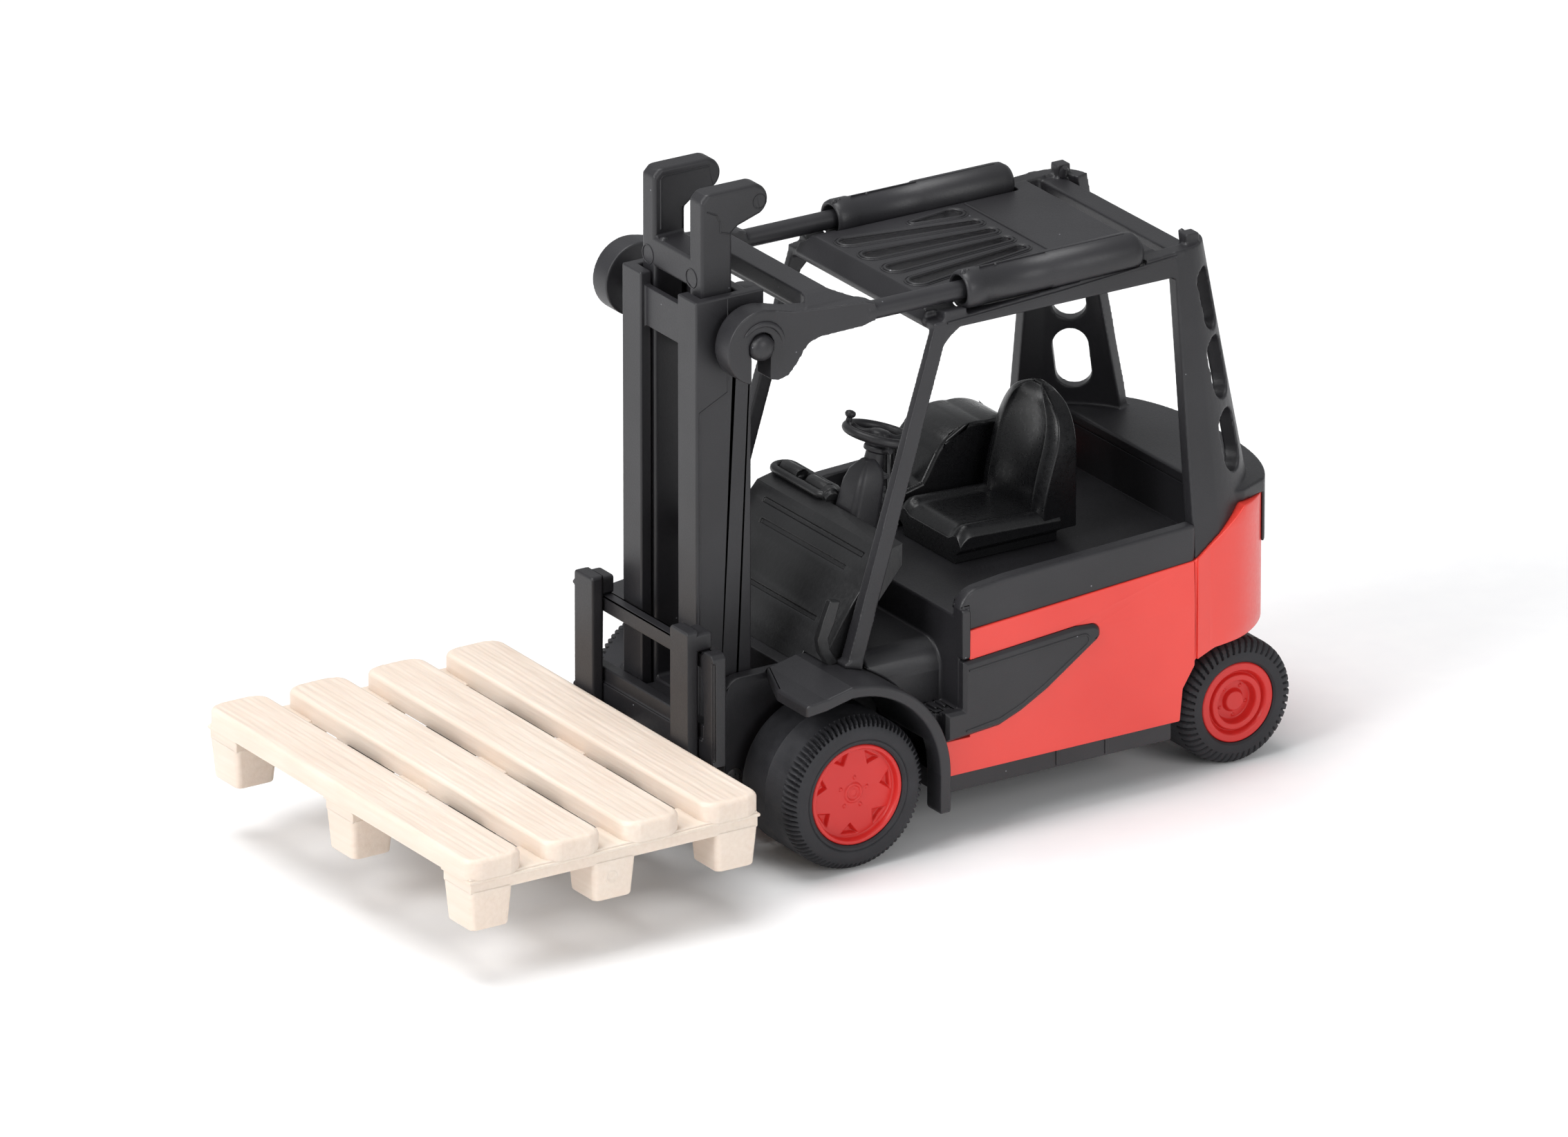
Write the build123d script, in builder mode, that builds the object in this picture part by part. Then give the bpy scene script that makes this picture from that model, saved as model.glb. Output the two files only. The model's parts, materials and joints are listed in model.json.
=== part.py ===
from build123d import *
import os
from math import atan2, cos, degrees, radians, sin

os.makedirs("parts", exist_ok=True)

# Toy forklift truck, about 1:50. Millimetres. +X forward (forks), +Y driver's left, +Z up.
# The origin is the middle of the bounding box, on the ground. Sketches are placed from the
# front axle, so in every sketch x is the distance in front of the front axle.

# Overall
REAR_END = -48.4                  # back of the counterweight
PALLET_FRONT = 42.9               # front edge of the pallet
FRONT_AXLE_X = -(REAR_END + PALLET_FRONT) / 2
WHEELBASE = 41.4

# Wheels
FRONT_TYRE_R = 7.0
FRONT_TYRE_IN = 8.3               # inner face, distance from the middle
FRONT_TYRE_OUT = 16.75
FRONT_HUB_R = 4.6
REAR_TYRE_R = 5.8
REAR_TYRE_IN = 7.6
REAR_TYRE_OUT = 14.0
REAR_HUB_R = 3.7
AXLE_R = 0.9
RUNNING_FIT = 0.08                # radial clearance of an axle or a pin in its hole

# Chassis and body
BASE_Z = 4.4                      # underside of the base plate
BODY_Z = 6.2                      # lower edge of the red shell
BODY_HALF = 15.6
WALL = 1.2
PANEL_IN = 15.0                   # the side panels are let in this far from the middle
DECK_Z = 20.6                     # seat deck
FLOOR_Z = 17.3                    # footwell floor
STEP_Z = 12.0                     # entry step
FLOOR_FRONT = -4.0                # the footwell floor ends behind the door pillars
DOOR_X = -11.4                    # rear edge of the doorway
SHELL_FRONT = -12.2               # the red wall ends behind the black door flange
SHOULDER_X = -35.8                # joint between side wall and counterweight
SHOULDER_Z = 24.0
BLOCK_HALF = 7.2                  # centre block between the wheels
BLOCK_TOP = 8.4
SILL_Z = 9.5                      # lower edge of the door sill
CREASE_Z = 16.9                   # the red wall leans inwards above this height
WALL_LEAN = 0.3
GUARD_X = 0.7                     # centre of the mudguard arch
GUARD_Z = 7.1
GUARD_R = 10.2
GUARD_T = 1.1
RIVETS_X = (-6.2, -38.0)
RIVET_R = 0.8

# Mast
MAST_REAR = 4.2
MAST_FRONT = 9.85
MAST_IN = 2.95
MAST_OUT = 6.0
MAST_TOP = 51.2
WEB = 0.95
PIVOT_X = 6.85
PIVOT_Z = 7.0
CHEEK_IN = 6.25
CHEEK_OUT = 7.4
CHEEK_TOP = 16.3
RAIL_REAR = 5.35
RAIL_FRONT = 8.55
RAIL_IN = 2.75
RAIL_OUT = 4.85
HOOK_TOP = 60.4

# Tilt yoke and roof cylinders
EYE_X = 5.0
EYE_Z = 47.1
EYE_R = 3.4
EYE_T = 2.3
EYE_Y = (7.8, -12.0)              # off centre: left eye close to the mast, right eye flared out
PIN_R = 1.2
ROD_R = 0.85
ROD_Y = 10.3
ROD_Z = 48.9
CYLINDER_R = 1.75
CYLINDER_FRONT = -14.3
CYLINDER_REAR = -32.9

# Overhead guard
ROOF_TOP = 48.5
ROOF_T = 1.1
RAIL_Z = 46.1                     # underside of the roof rails
GUARD_IN = 10.2
GUARD_OUT = 11.8
ROOF_REAR = -34.7
SLOT_FRONT = -12.4                # ends of the fanned slots in the roof
SLOT_REAR = -25.6
SLOT_WIDE_R = 0.9
SLOT_NARROW_R = 0.6
TAIL_CAP_REAR = -48.3
A_FOOT = (-2.4, 11.6, 16.8)
A_HEAD = (-11.7, 11.4, 46.6)

# Carriage, forks and pallet
PLATE_REAR = 10.2
PLATE_FRONT = 11.6
PLATE_IN = 9.5                    # inner edge of the side plates, from the middle
PLATE_OUT = 11.4
PLATE_TOP = 20.6
SHANK_FRONT = 12.8
SHANK_Y = 7.75
SHANK_W = 2.9
TINE_Y = 8.3
TINE_W = 6.2
TINE_TOP = 9.9
TINE_T = 1.2
FORK_TIP = 41.0
PALLET_REAR = 13.1
PALLET_HALF = 21.65
SLAT_W = 5.75
SLAT_TOP = 11.85
SLAT_BOTTOM = 9.95
STRINGER_BOTTOM = 8.7
BLOCK_BOTTOM = 5.1


def side(y=0.0):
    """Upright plane along the truck, y to the left: local x forward, local y up, normal to the right."""
    return Plane(origin=(FRONT_AXLE_X, y, 0), x_dir=(1, 0, 0), z_dir=(0, -1, 0))


def front(x=0.0):
    """Upright plane across the truck, x in front of the front axle: local x to the left, normal forward."""
    return Plane(origin=(FRONT_AXLE_X + x, 0, 0), x_dir=(0, 1, 0), z_dir=(1, 0, 0))


def level(z=0.0):
    """Horizontal plane at height z: local x forward from the front axle, local y to the left."""
    return Plane(origin=(FRONT_AXLE_X, 0, z))


def block(x0, x1, y0, y1, z0, z1, mode=Mode.ADD):
    """Rectangular block between the given limits, x from the front axle."""
    with Locations((FRONT_AXLE_X + (x0 + x1) / 2, (y0 + y1) / 2, (z0 + z1) / 2)):
        Box(x1 - x0, y1 - y0, z1 - z0, mode=mode)


def cross_rod(x, z, r, y0, y1, mode=Mode.ADD):
    """Round rod along Y from y0 to y1, x from the front axle."""
    with Locations(Location((FRONT_AXLE_X + x, (y0 + y1) / 2, z), (90, 0, 0))):
        Cylinder(r, y1 - y0, mode=mode)


def save(part, name):
    part.label = name
    export_step(part, f"parts/{name}.step")


def save_pair(part, name):
    """The part as built is the left one; its mirror image is the right one."""
    save(part, f"{name}_left")
    save(mirror(part, about=Plane.XZ), f"{name}_right")


def counterweight_outline():
    """Side view of the red shell: sill, rear arch, counterweight, shoulder line."""
    Polyline(
        (-9.6, BODY_Z), (-34.1, BODY_Z), (-34.4, 9.2), (-35.9, 11.6), (-38.0, 12.2), (-46.6, 12.4),
        (-48.0, 13.8), (REAR_END, 16.5), (REAR_END, 18.6), (-47.0, 22.6), (-45.2, 24.3), (-41.6, 24.5),
        (-38.6, 22.6), (SHOULDER_X, 20.9), (DOOR_X, 19.3), (DOOR_X, 12.2), (-9.6, 12.2), close=True,
    )


def panel_outline():
    """Side view of the dark panel let into the side wall, with the door sill at its front."""
    Polyline((-9.6, 12.2), (DOOR_X, 12.2), (DOOR_X, 16.6), (-23.2, 17.5), (-24.7, 17.4))
    ThreePointArc((-24.7, 17.4), (-25.6, 16.6), (-25.1, 15.7))
    Polyline((-25.1, 15.7), (-20.1, 12.3), (-17.5, 10.9), (-15.2, 10.0), (-9.6, 9.5), (-9.6, 12.2))


# Base: plate, centre block with the axle holes, cheeks that hold the mast foot
with BuildPart() as chassis_base:
    block(-33.6, -9.6, -15.0, 15.0, BASE_Z, BODY_Z)
    block(-45.6, -8.0, -BLOCK_HALF, BLOCK_HALF, BASE_Z, BLOCK_TOP)
    block(-8.0, 1.6, -BLOCK_HALF, BLOCK_HALF, BASE_Z, CHEEK_TOP)
    for y0 in (-CHEEK_OUT, CHEEK_IN):
        with BuildSketch(side(y0 + CHEEK_OUT - CHEEK_IN)):
            with BuildLine():
                Polyline((1.6, BASE_Z), (6.6, BASE_Z), (7.9, 6.0), (7.9, 14.6))
                RadiusArc((7.9, 14.6), (6.2, CHEEK_TOP), -1.7)
                Polyline((6.2, CHEEK_TOP), (1.6, CHEEK_TOP), (1.6, BASE_Z))
            make_face()
        extrude(amount=CHEEK_OUT - CHEEK_IN)
    # holes for both axles and for the mast pins
    cross_rod(0, FRONT_TYRE_R, AXLE_R + RUNNING_FIT, -20, 20, Mode.SUBTRACT)
    cross_rod(-WHEELBASE, REAR_TYRE_R, AXLE_R + RUNNING_FIT, -20, 20, Mode.SUBTRACT)
    cross_rod(PIVOT_X, PIVOT_Z, AXLE_R, -20, 20, Mode.SUBTRACT)
    for x in RIVETS_X:
        with Locations((FRONT_AXLE_X + x, 0, BASE_Z)):
            Cylinder(RIVET_R, 7.0, mode=Mode.SUBTRACT)
    # shallow battery-box ribs under the plate
    for x in (-30, -24, -18, -12.4):
        block(x, x + 0.8, -12, 12, BASE_Z - 0.4, BASE_Z)
    # front cross bar of the pocket, under the mast
    block(1.6, 3.2, -CHEEK_IN, CHEEK_IN, BASE_Z, 5.6)
save(chassis_base.part, "chassis_base")

# Red die-cast shell: side walls and counterweight in one casting
with BuildPart() as body_shell:
    with BuildSketch(side()):
        with BuildLine():
            counterweight_outline()
        make_face()
    extrude(amount=BODY_HALF, both=True)
    # plan view: straight sides, strongly rounded tail
    with BuildSketch(level(0)):
        with BuildLine():
            Spline((REAR_END, 0), (-47.4, 6.8), (-45.0, 11.8), (-42.0, 14.2), (-37.4, 15.3),
                   tangents=((0, 1), (1, 0.12)))
            Polyline((-37.4, 15.3), (SHOULDER_X, BODY_HALF), (-5, BODY_HALF), (-5, 0))
            mirror(about=Plane.XZ)
        make_face()
    extrude(amount=30, mode=Mode.INTERSECT)
    # room for the cab tub, open above and below
    block(-36.4, 0, -(BODY_HALF - WALL), BODY_HALF - WALL, 0, 40, Mode.SUBTRACT)
    block(-40.8, -36.4, -13.2, 13.2, 19.0, 40, Mode.SUBTRACT)
    # the door flange takes the place of the wall's front edge
    block(SHELL_FRONT, -9.0, -BODY_HALF - 1, BODY_HALF + 1, SILL_Z, 22, Mode.SUBTRACT)
    # hanging centre of the counterweight, between the rear wheels
    block(-45.6, -36.4, -6.9, 6.9, BLOCK_TOP, 12.6)
    # the wall leans inwards above a soft crease
    for sign in (-1, 1):
        outside = sign * (BODY_HALF + 1)
        with BuildSketch(front(SHOULDER_X)):
            with BuildLine():
                Polyline((sign * BODY_HALF, CREASE_Z), (sign * (BODY_HALF - WALL_LEAN), SHOULDER_Z),
                         (outside, SHOULDER_Z), (outside, CREASE_Z), close=True)
            make_face()
        extrude(amount=SHELL_FRONT + 1 - SHOULDER_X, mode=Mode.SUBTRACT)
    # bed of the side panel, and the panel joint
    for y in (BODY_HALF + 1, -PANEL_IN):
        with BuildSketch(side(y)):
            with BuildLine():
                panel_outline()
            make_face()
        extrude(amount=BODY_HALF + 1 - PANEL_IN, mode=Mode.SUBTRACT)
    for y in (BODY_HALF - 0.25, -BODY_HALF - 1):
        block(SHOULDER_X - 0.15, SHOULDER_X + 0.15, y, y + 1.25, BODY_Z + 5, 21.5, Mode.SUBTRACT)
save(body_shell.part, "body_shell")

# Dark side panel with the door sill
with BuildPart() as side_panel:
    with BuildSketch(side(BODY_HALF + 0.35)):
        with BuildLine():
            panel_outline()
        make_face()
    extrude(amount=BODY_HALF + 0.35 - PANEL_IN)
    chamfer(side_panel.faces().sort_by(Axis.Y)[-1].edges(), 0.3)
save_pair(side_panel.part, "side_panel")

# Front mudguard: arched band over the tyre, flat towards the mast
with BuildPart() as front_fender:
    with BuildSketch(side(16.9)):
        with BuildLine():
            Line((GUARD_X - GUARD_R, 3.4), (GUARD_X - GUARD_R, GUARD_Z))
            RadiusArc((GUARD_X - GUARD_R, GUARD_Z), (GUARD_X, GUARD_Z + GUARD_R), GUARD_R)
            Polyline((GUARD_X, GUARD_Z + GUARD_R), (3.4, 16.7), (5.4, 16.5), (5.4, 15.4), (3.4, 15.6),
                     (GUARD_X, GUARD_Z + GUARD_R - GUARD_T))
            RadiusArc((GUARD_X, GUARD_Z + GUARD_R - GUARD_T), (GUARD_X - GUARD_R + GUARD_T, GUARD_Z),
                      -(GUARD_R - GUARD_T))
            Polyline((GUARD_X - GUARD_R + GUARD_T, GUARD_Z), (GUARD_X - GUARD_R + GUARD_T, 3.4),
                     (GUARD_X - GUARD_R, 3.4))
        make_face()
    extrude(amount=16.9 - CHEEK_OUT)
    # the entry step passes inside the band
    block(-12, -8.0, 0, 14.4, 0, STEP_Z, Mode.SUBTRACT)
    # the wing narrows towards the mast
    with BuildSketch(level(14)):
        with BuildLine():
            Polyline((5.6, 12.0), (5.4, 12.0), (3.4, 7.0), (5.6, 7.0), close=True)
        make_face()
    extrude(amount=4, mode=Mode.SUBTRACT)
save_pair(front_fender.part, "front_fender")

# Cab tub: seat deck, footwell, entry steps, shoulder bands and rear wall
with BuildPart() as cab_interior:
    block(-36.4, DOOR_X, -(BODY_HALF - WALL), BODY_HALF - WALL, BODY_Z, DECK_Z)
    block(-35.0, DOOR_X - 1.4, -13.0, 13.0, BODY_Z, DECK_Z - 1.4, Mode.SUBTRACT)
    # clearance for the rear wheels and the centre block
    block(-36.4, -34.4, -15, 15, BODY_Z, 12.4, Mode.SUBTRACT)
    block(-36.4, DOOR_X, -BLOCK_HALF, BLOCK_HALF, BODY_Z, BLOCK_TOP, Mode.SUBTRACT)
    # rear deck and the low wall behind it
    block(-40.8, -36.4, -13.2, 13.2, 19.0, DECK_Z)
    block(-40.8, -39.8, -13.2, 13.2, DECK_Z, 24.6)
    # footwell floor with rounded shoulders, fitted over the centre block and the mudguards
    with BuildSketch(front(DOOR_X)):
        with BuildLine():
            Polyline((-12.2, STEP_Z - 1.2), (-12.2, FLOOR_Z - 2.4))
            RadiusArc((-12.2, FLOOR_Z - 2.4), (-9.8, FLOOR_Z), 2.4)
            Line((-9.8, FLOOR_Z), (9.8, FLOOR_Z))
            RadiusArc((9.8, FLOOR_Z), (12.2, FLOOR_Z - 2.4), 2.4)
            Polyline((12.2, FLOOR_Z - 2.4), (12.2, STEP_Z - 1.2), (-12.2, STEP_Z - 1.2))
        make_face()
    extrude(amount=FLOOR_FRONT - DOOR_X)
    block(-8.0, FLOOR_FRONT, -BLOCK_HALF, BLOCK_HALF, 0, CHEEK_TOP, Mode.SUBTRACT)
    for y in (BLOCK_HALF, -17.0):
        cross_rod(GUARD_X, GUARD_Z, GUARD_R, y, y + 17.0 - BLOCK_HALF, Mode.SUBTRACT)
    block(FLOOR_FRONT, -1.3, -CHEEK_OUT, CHEEK_OUT, CHEEK_TOP, FLOOR_Z)
    # flanges that frame the doorway, and the entry steps with tread bars
    for sign in (-1, 1):
        y0, y1 = sorted((sign * (BODY_HALF - WALL), sign * PANEL_IN))
        block(SHELL_FRONT, -9.6, y0, y1, SILL_Z, STEP_Z)
        block(SHELL_FRONT, DOOR_X, y0, y1, STEP_Z, 16.7)
        y0, y1 = sorted((sign * (BODY_HALF - WALL), sign * BODY_HALF))
        block(SHELL_FRONT, DOOR_X, y0, y1, 16.7, 21.4)
        block(DOOR_X, -8.0, sign * 13.3 - 1.1, sign * 13.3 + 1.1, STEP_Z - 1.2, STEP_Z)
        for x in (-10.8, -9.9, -9.0):
            block(x, x + 0.35, sign * 13.3 - 0.9, sign * 13.3 + 0.9, STEP_Z, STEP_Z + 0.3)
    # shoulder bands along both sides, closed at the rear
    for y in (15.3, -13.9):
        with BuildSketch(side(y)):
            with BuildLine():
                Polyline((DOOR_X, 19.3), (DOOR_X, 21.4))
                RadiusArc((DOOR_X, 21.4), (-13.4, 23.1), -2.2)
                Polyline((-13.4, 23.1), (-16.0, 23.4), (SHOULDER_X, SHOULDER_Z + 0.2), (SHOULDER_X, 20.9),
                         (DOOR_X, 19.3))
            make_face()
        extrude(amount=1.4)
save(cab_interior.part, "cab_interior")

# Front cowl: sloping bulkhead with moulded grooves and a tray on top
COWL_HALF = 10.4                  # fits between the door pillars
COWL_FOOT = (0.3, CHEEK_TOP)
COWL_HEAD = (-6.8, 26.2)
COWL_ANGLE = degrees(atan2(COWL_HEAD[1] - COWL_FOOT[1], COWL_HEAD[0] - COWL_FOOT[0]))
with BuildPart() as front_cowl:
    with BuildSketch(side()):
        with BuildLine():
            ThreePointArc(COWL_FOOT, (-2.95, 21.45), COWL_HEAD)
            Polyline(COWL_HEAD, (-8.6, 26.6), (-8.6, 24.6), (-2.4, FLOOR_Z), (-1.3, FLOOR_Z),
                     (-1.3, CHEEK_TOP),
                     COWL_FOOT)
        make_face()
    extrude(amount=COWL_HALF, both=True)
    for y in (-12.5, 7.4):
        block(-2, 2, y, y + 5.1, 15, FLOOR_Z, Mode.SUBTRACT)
    # grooves across the slope
    for share, half in ((0.10, 8.0), (0.24, 6.8), (0.66, 6.8)):
        x = COWL_HEAD[0] + share * (COWL_FOOT[0] - COWL_HEAD[0]) + 0.25
        z = COWL_HEAD[1] + share * (COWL_FOOT[1] - COWL_HEAD[1]) + 0.17
        with BuildSketch(side()):
            with Locations((x, z)):
                Rectangle(0.4, 0.5, rotation=COWL_ANGLE)
        extrude(amount=half, both=True, mode=Mode.SUBTRACT)
    # tray with two hose stubs
    block(-10.2, -8.6, -10.8, -1.4, 25.4, 26.6)
    for y in (-8.2, -4.0):
        cross_rod(-9.3, 27.0, 0.7, y - 1.5, y + 1.3)
save(front_cowl.part, "front_cowl")

# Overhead guard: door pillars, roof with fanned slots, slotted rear pillars, one moulding
PILLAR_FOOT_Z = 19.6
with BuildPart() as overhead_guard:
    # door pillars lean back and inwards
    for sign in (-1, 1):
        with BuildSketch(level(A_FOOT[2])):
            with Locations((A_FOOT[0], sign * A_FOOT[1])):
                Rectangle(1.6, 1.4)
        with BuildSketch(level(A_HEAD[2])):
            with Locations((A_HEAD[0], sign * A_HEAD[1])):
                Rectangle(1.5, 0.8)
        loft()
        # gusset under the roof rail
        with BuildSketch(side(sign * 11.3 + 0.45)):
            with BuildLine():
                Polyline((-12.0, RAIL_Z + 0.3), (-14.0, RAIL_Z + 0.3), (-12.6, 45.4),
                         (-11.8, 44.6), close=True)
            make_face()
        extrude(amount=0.9)
        # pillar foot on the mudguard
        block(-3.2, -1.4, sign * A_FOOT[1] - 0.8, sign * A_FOOT[1] + 0.8, 16.0, 17.5)
    # roof rails, wedge shaped from the side, and cross members
    for y in (-GUARD_OUT, GUARD_IN):
        with BuildSketch(side(y + GUARD_OUT - GUARD_IN)):
            with BuildLine():
                Polyline((-10.9, RAIL_Z), (-36.6, RAIL_Z), (-36.6, 48.5), (-10.9, 46.9), close=True)
            make_face()
        extrude(amount=GUARD_OUT - GUARD_IN)
    with BuildSketch(side()):
        with BuildLine():
            Polyline((-10.9, RAIL_Z), (-10.6, 46.7), (-11.6, ROOF_TOP), (ROOF_REAR, ROOF_TOP),
                     (ROOF_REAR, ROOF_TOP - ROOF_T), (-13.4, ROOF_TOP - ROOF_T), (-12.6, RAIL_Z), close=True)
        make_face()
    extrude(amount=GUARD_IN, both=True)
    block(-38.4, -36.2, -10.4, 10.4, 46.4, 48.2)
    # fanned slots in the roof: four long ones that narrow to the rear, a short one at each side
    fan = [(SLOT_FRONT, 3.75 * place, 2.45 * place, SLOT_WIDE_R, SLOT_NARROW_R)
           for place in (-1.5, -0.5, 0.5, 1.5)]
    fan += [(-20.4, sign * 6.6, sign * 6.6, 0.25, SLOT_WIDE_R) for sign in (-1, 1)]
    for slot_front, y_front, y_rear, front_r, rear_r in fan:
        with BuildSketch(level(ROOF_TOP + 1)):
            with Locations((slot_front - front_r, y_front)):
                Circle(front_r)
            with Locations((SLOT_REAR + rear_r, y_rear)):
                Circle(rear_r)
            make_hull()
        extrude(amount=-4, mode=Mode.SUBTRACT)
    # seats of the two roof cylinders, with a saddle under each rod in front
    for y in (-ROD_Y, ROD_Y):
        block(CYLINDER_FRONT, -12.0, y - 1.45, y + 1.45, RAIL_Z + 0.2, ROD_Z - ROD_R - 0.3)
        with BuildSketch(front(CYLINDER_REAR)):
            with Locations((y, ROD_Z)):
                Circle(CYLINDER_R)
        extrude(amount=CYLINDER_FRONT + 0.2 - CYLINDER_REAR, mode=Mode.SUBTRACT)
        with BuildSketch(front(CYLINDER_FRONT)):
            with Locations((y, ROD_Z)):
                Circle(ROD_R + 0.5)
        extrude(amount=-CYLINDER_FRONT, mode=Mode.SUBTRACT)
        half = CYLINDER_R + 0.05
        block(CYLINDER_REAR, 0, y - half, y + half, ROOF_TOP - 0.1, ROOF_TOP + 1, Mode.SUBTRACT)
    # rear pillars: curved plates that lean inwards towards the roof
    for sign in (-1, 1):
        with BuildSketch(level(PILLAR_FOOT_Z)):
            with BuildLine():
                Line((-35.8, sign * 15.5), (-38.8, sign * 15.2))
                ThreePointArc((-38.8, sign * 15.2), (-43.4, sign * 12.9), (-46.2, sign * 9.4))
                Line((-46.2, sign * 9.4), (-45.0, sign * 8.7))
                ThreePointArc((-45.0, sign * 8.7), (-42.5, sign * 11.9), (-38.6, sign * 13.9))
                Polyline((-38.6, sign * 13.9), (-35.8, sign * 14.1), (-35.8, sign * 15.5))
            make_face()
        with BuildSketch(level(ROOF_TOP)):
            with BuildLine():
                Line((-35.8, sign * 11.8), (-37.4, sign * 11.6))
                ThreePointArc((-37.4, sign * 11.6), (-39.4, sign * 10.6), (-40.2, sign * 8.8))
                Line((-40.2, sign * 8.8), (-38.9, sign * 8.4))
                ThreePointArc((-38.9, sign * 8.4), (-38.4, sign * 9.6), (-37.2, sign * 10.2))
                Polyline((-37.2, sign * 10.2), (-35.8, sign * 10.4), (-35.8, sign * 11.8))
            make_face()
        loft(ruled=True)
        # three rounded slots in each pillar
        for x, y, z, width in ((-39.2, 11.0, 43.4, 2.4), (-40.2, 11.8, 37.0, 3.0), (-41.4, 12.8, 30.2, 3.2)):
            turn = radians(36)
            outwards = (-sin(turn), sign * cos(turn), 0)
            plane = Plane(origin=(FRONT_AXLE_X + x, sign * y, z), x_dir=(0, 0, 1), z_dir=outwards)
            with BuildSketch(plane):
                SlotOverall(5.8, width, rotation=sign * 6)
            extrude(amount=3, both=True, mode=Mode.SUBTRACT)
        # lifting lug at the top of the pillar
        block(-39.0, -37.6, sign * 10.2 - 0.6, sign * 10.2 + 0.6, 48.2, 49.4)
    # the pillar feet stand on the sloping top of the counterweight, the tail laps over its rear
    with BuildSketch(side()):
        with BuildLine():
            Polyline((SHOULDER_X, 20.9), (-38.6, 22.6), (-41.6, 24.5), (-45.2, 24.5), (-45.2, 0),
                     (SHOULDER_X, 0), close=True)
        make_face()
    extrude(amount=30, both=True, mode=Mode.SUBTRACT)
    # cap over the counterweight with a lip down its rear
    with BuildSketch(level(19.6)):
        with BuildLine():
            Spline((TAIL_CAP_REAR, 0), (-47.65, 6.9), (-45.2, 12.0), tangents=((0, 1), (0.66, 0.75)))
            Polyline((-45.2, 12.0), (-44.4, 11.2), (-44.4, 0))
            mirror(about=Plane.XZ)
        make_face()
    extrude(amount=25.6 - 19.6)
    with BuildSketch(level(24.3)):
        with BuildLine():
            Polyline((-39.8, 0), (-39.8, 13.6), (-42.2, 13.4), (-45.2, 12.0), (-45.2, 0))
            mirror(about=Plane.XZ)
        make_face()
    extrude(amount=25.6 - 24.3)
    fender_right = mirror(front_fender.part, about=Plane.XZ, mode=Mode.PRIVATE)
    for neighbour in (body_shell.part, cab_interior.part, front_fender.part, fender_right):
        add(neighbour, mode=Mode.SUBTRACT)
save(overhead_guard.part, "overhead_guard")

# Roof cylinders: fixed barrels that the yoke rods slide in
with BuildPart() as tilt_cylinder:
    with Locations(Location((FRONT_AXLE_X + (CYLINDER_FRONT + CYLINDER_REAR) / 2, ROD_Y, ROD_Z), (0, 90, 0))):
        Cylinder(CYLINDER_R, CYLINDER_FRONT - CYLINDER_REAR)
    fillet(tilt_cylinder.edges().sort_by(Axis.X)[0], 0.6)
    with BuildSketch(front(CYLINDER_FRONT)):
        with Locations((ROD_Y, ROD_Z)):
            Circle(ROD_R + 0.4)
    extrude(amount=-12.6, mode=Mode.SUBTRACT)
save_pair(tilt_cylinder.part, "tilt_cylinder")

# Steering column: slanted housing on the tray, and the wheel with its knob
WHEEL_X = -12.9
WHEEL_Z = 32.5
WHEEL_R = 3.0
WHEEL_TILT = 16
wheel_plane = Plane(
    origin=(FRONT_AXLE_X + WHEEL_X, 0, WHEEL_Z),
    x_dir=(0, 1, 0),
    z_dir=(-sin(radians(WHEEL_TILT)), 0, cos(radians(WHEEL_TILT))),
)
with BuildPart() as steering_column:
    with BuildSketch(level(FLOOR_Z)):
        with Locations((-8.6, 0.4)):
            RectangleRounded(2.8, 4.4, 0.7)
    with BuildSketch(level(29.4)):
        with Locations((-11.4, 0.2)):
            RectangleRounded(2.4, 3.0, 0.7)
    loft()
    with BuildSketch(wheel_plane.offset(-0.45)):
        Circle(0.8)
    extrude(amount=-4.0)
    split(bisect_by=wheel_plane.offset(-0.45), keep=Keep.BOTTOM)
    add(front_cowl.part, mode=Mode.SUBTRACT)
    add(cab_interior.part, mode=Mode.SUBTRACT)
save(steering_column.part, "steering_column")

with BuildPart() as steering_wheel:
    with BuildSketch(wheel_plane.offset(-0.45)):
        Circle(0.95)
    extrude(amount=0.9)
    with BuildSketch(wheel_plane.offset(-0.3)):
        with PolarLocations(WHEEL_R / 2, 3, start_angle=180):
            Rectangle(WHEEL_R, 0.6)
    extrude(amount=0.5)
    with BuildSketch(Plane(origin=wheel_plane.origin, x_dir=wheel_plane.z_dir, z_dir=(0, 1, 0))):
        with Locations((0, WHEEL_R)):
            Circle(0.42)
    revolve(axis=Axis(wheel_plane.origin, wheel_plane.z_dir))
    # spinner knob
    with BuildSketch(wheel_plane):
        with Locations((2.0, -2.2)):
            Circle(0.5)
    extrude(amount=1.2)
save(steering_wheel.part, "steering_wheel")

# Seat: base, cushion and tall backrest
SEAT_HALF = 5.0
with BuildPart() as seat:
    block(-29.6, -18.6, -4.2, 4.2, DECK_Z, 22.0)
    with BuildSketch(side()):
        with BuildLine():
            Polyline((-18.2, 21.6), (-18.0, 23.4), (-19.4, 24.3), (-26.0, 23.7), (-27.2, 24.6),
                     (-28.4, 32.6))
            ThreePointArc((-28.4, 32.6), (-29.3, 34.0), (-30.6, 33.0))
            Polyline((-30.6, 33.0), (-30.2, 21.6), (-18.2, 21.6))
        make_face()
    extrude(amount=SEAT_HALF, both=True)
    # the backrest narrows to a round head
    with BuildSketch(front(0)):
        with BuildLine():
            Polyline((-SEAT_HALF, 20), (-SEAT_HALF, 29.0))
            ThreePointArc((-SEAT_HALF, 29.0), (-3.9, 32.7), (0, 34.0))
            ThreePointArc((0, 34.0), (3.9, 32.7), (SEAT_HALF, 29.0))
            Polyline((SEAT_HALF, 29.0), (SEAT_HALF, 20), (-SEAT_HALF, 20))
        make_face()
    extrude(amount=-40, mode=Mode.INTERSECT)
save(seat.part, "seat")

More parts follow.
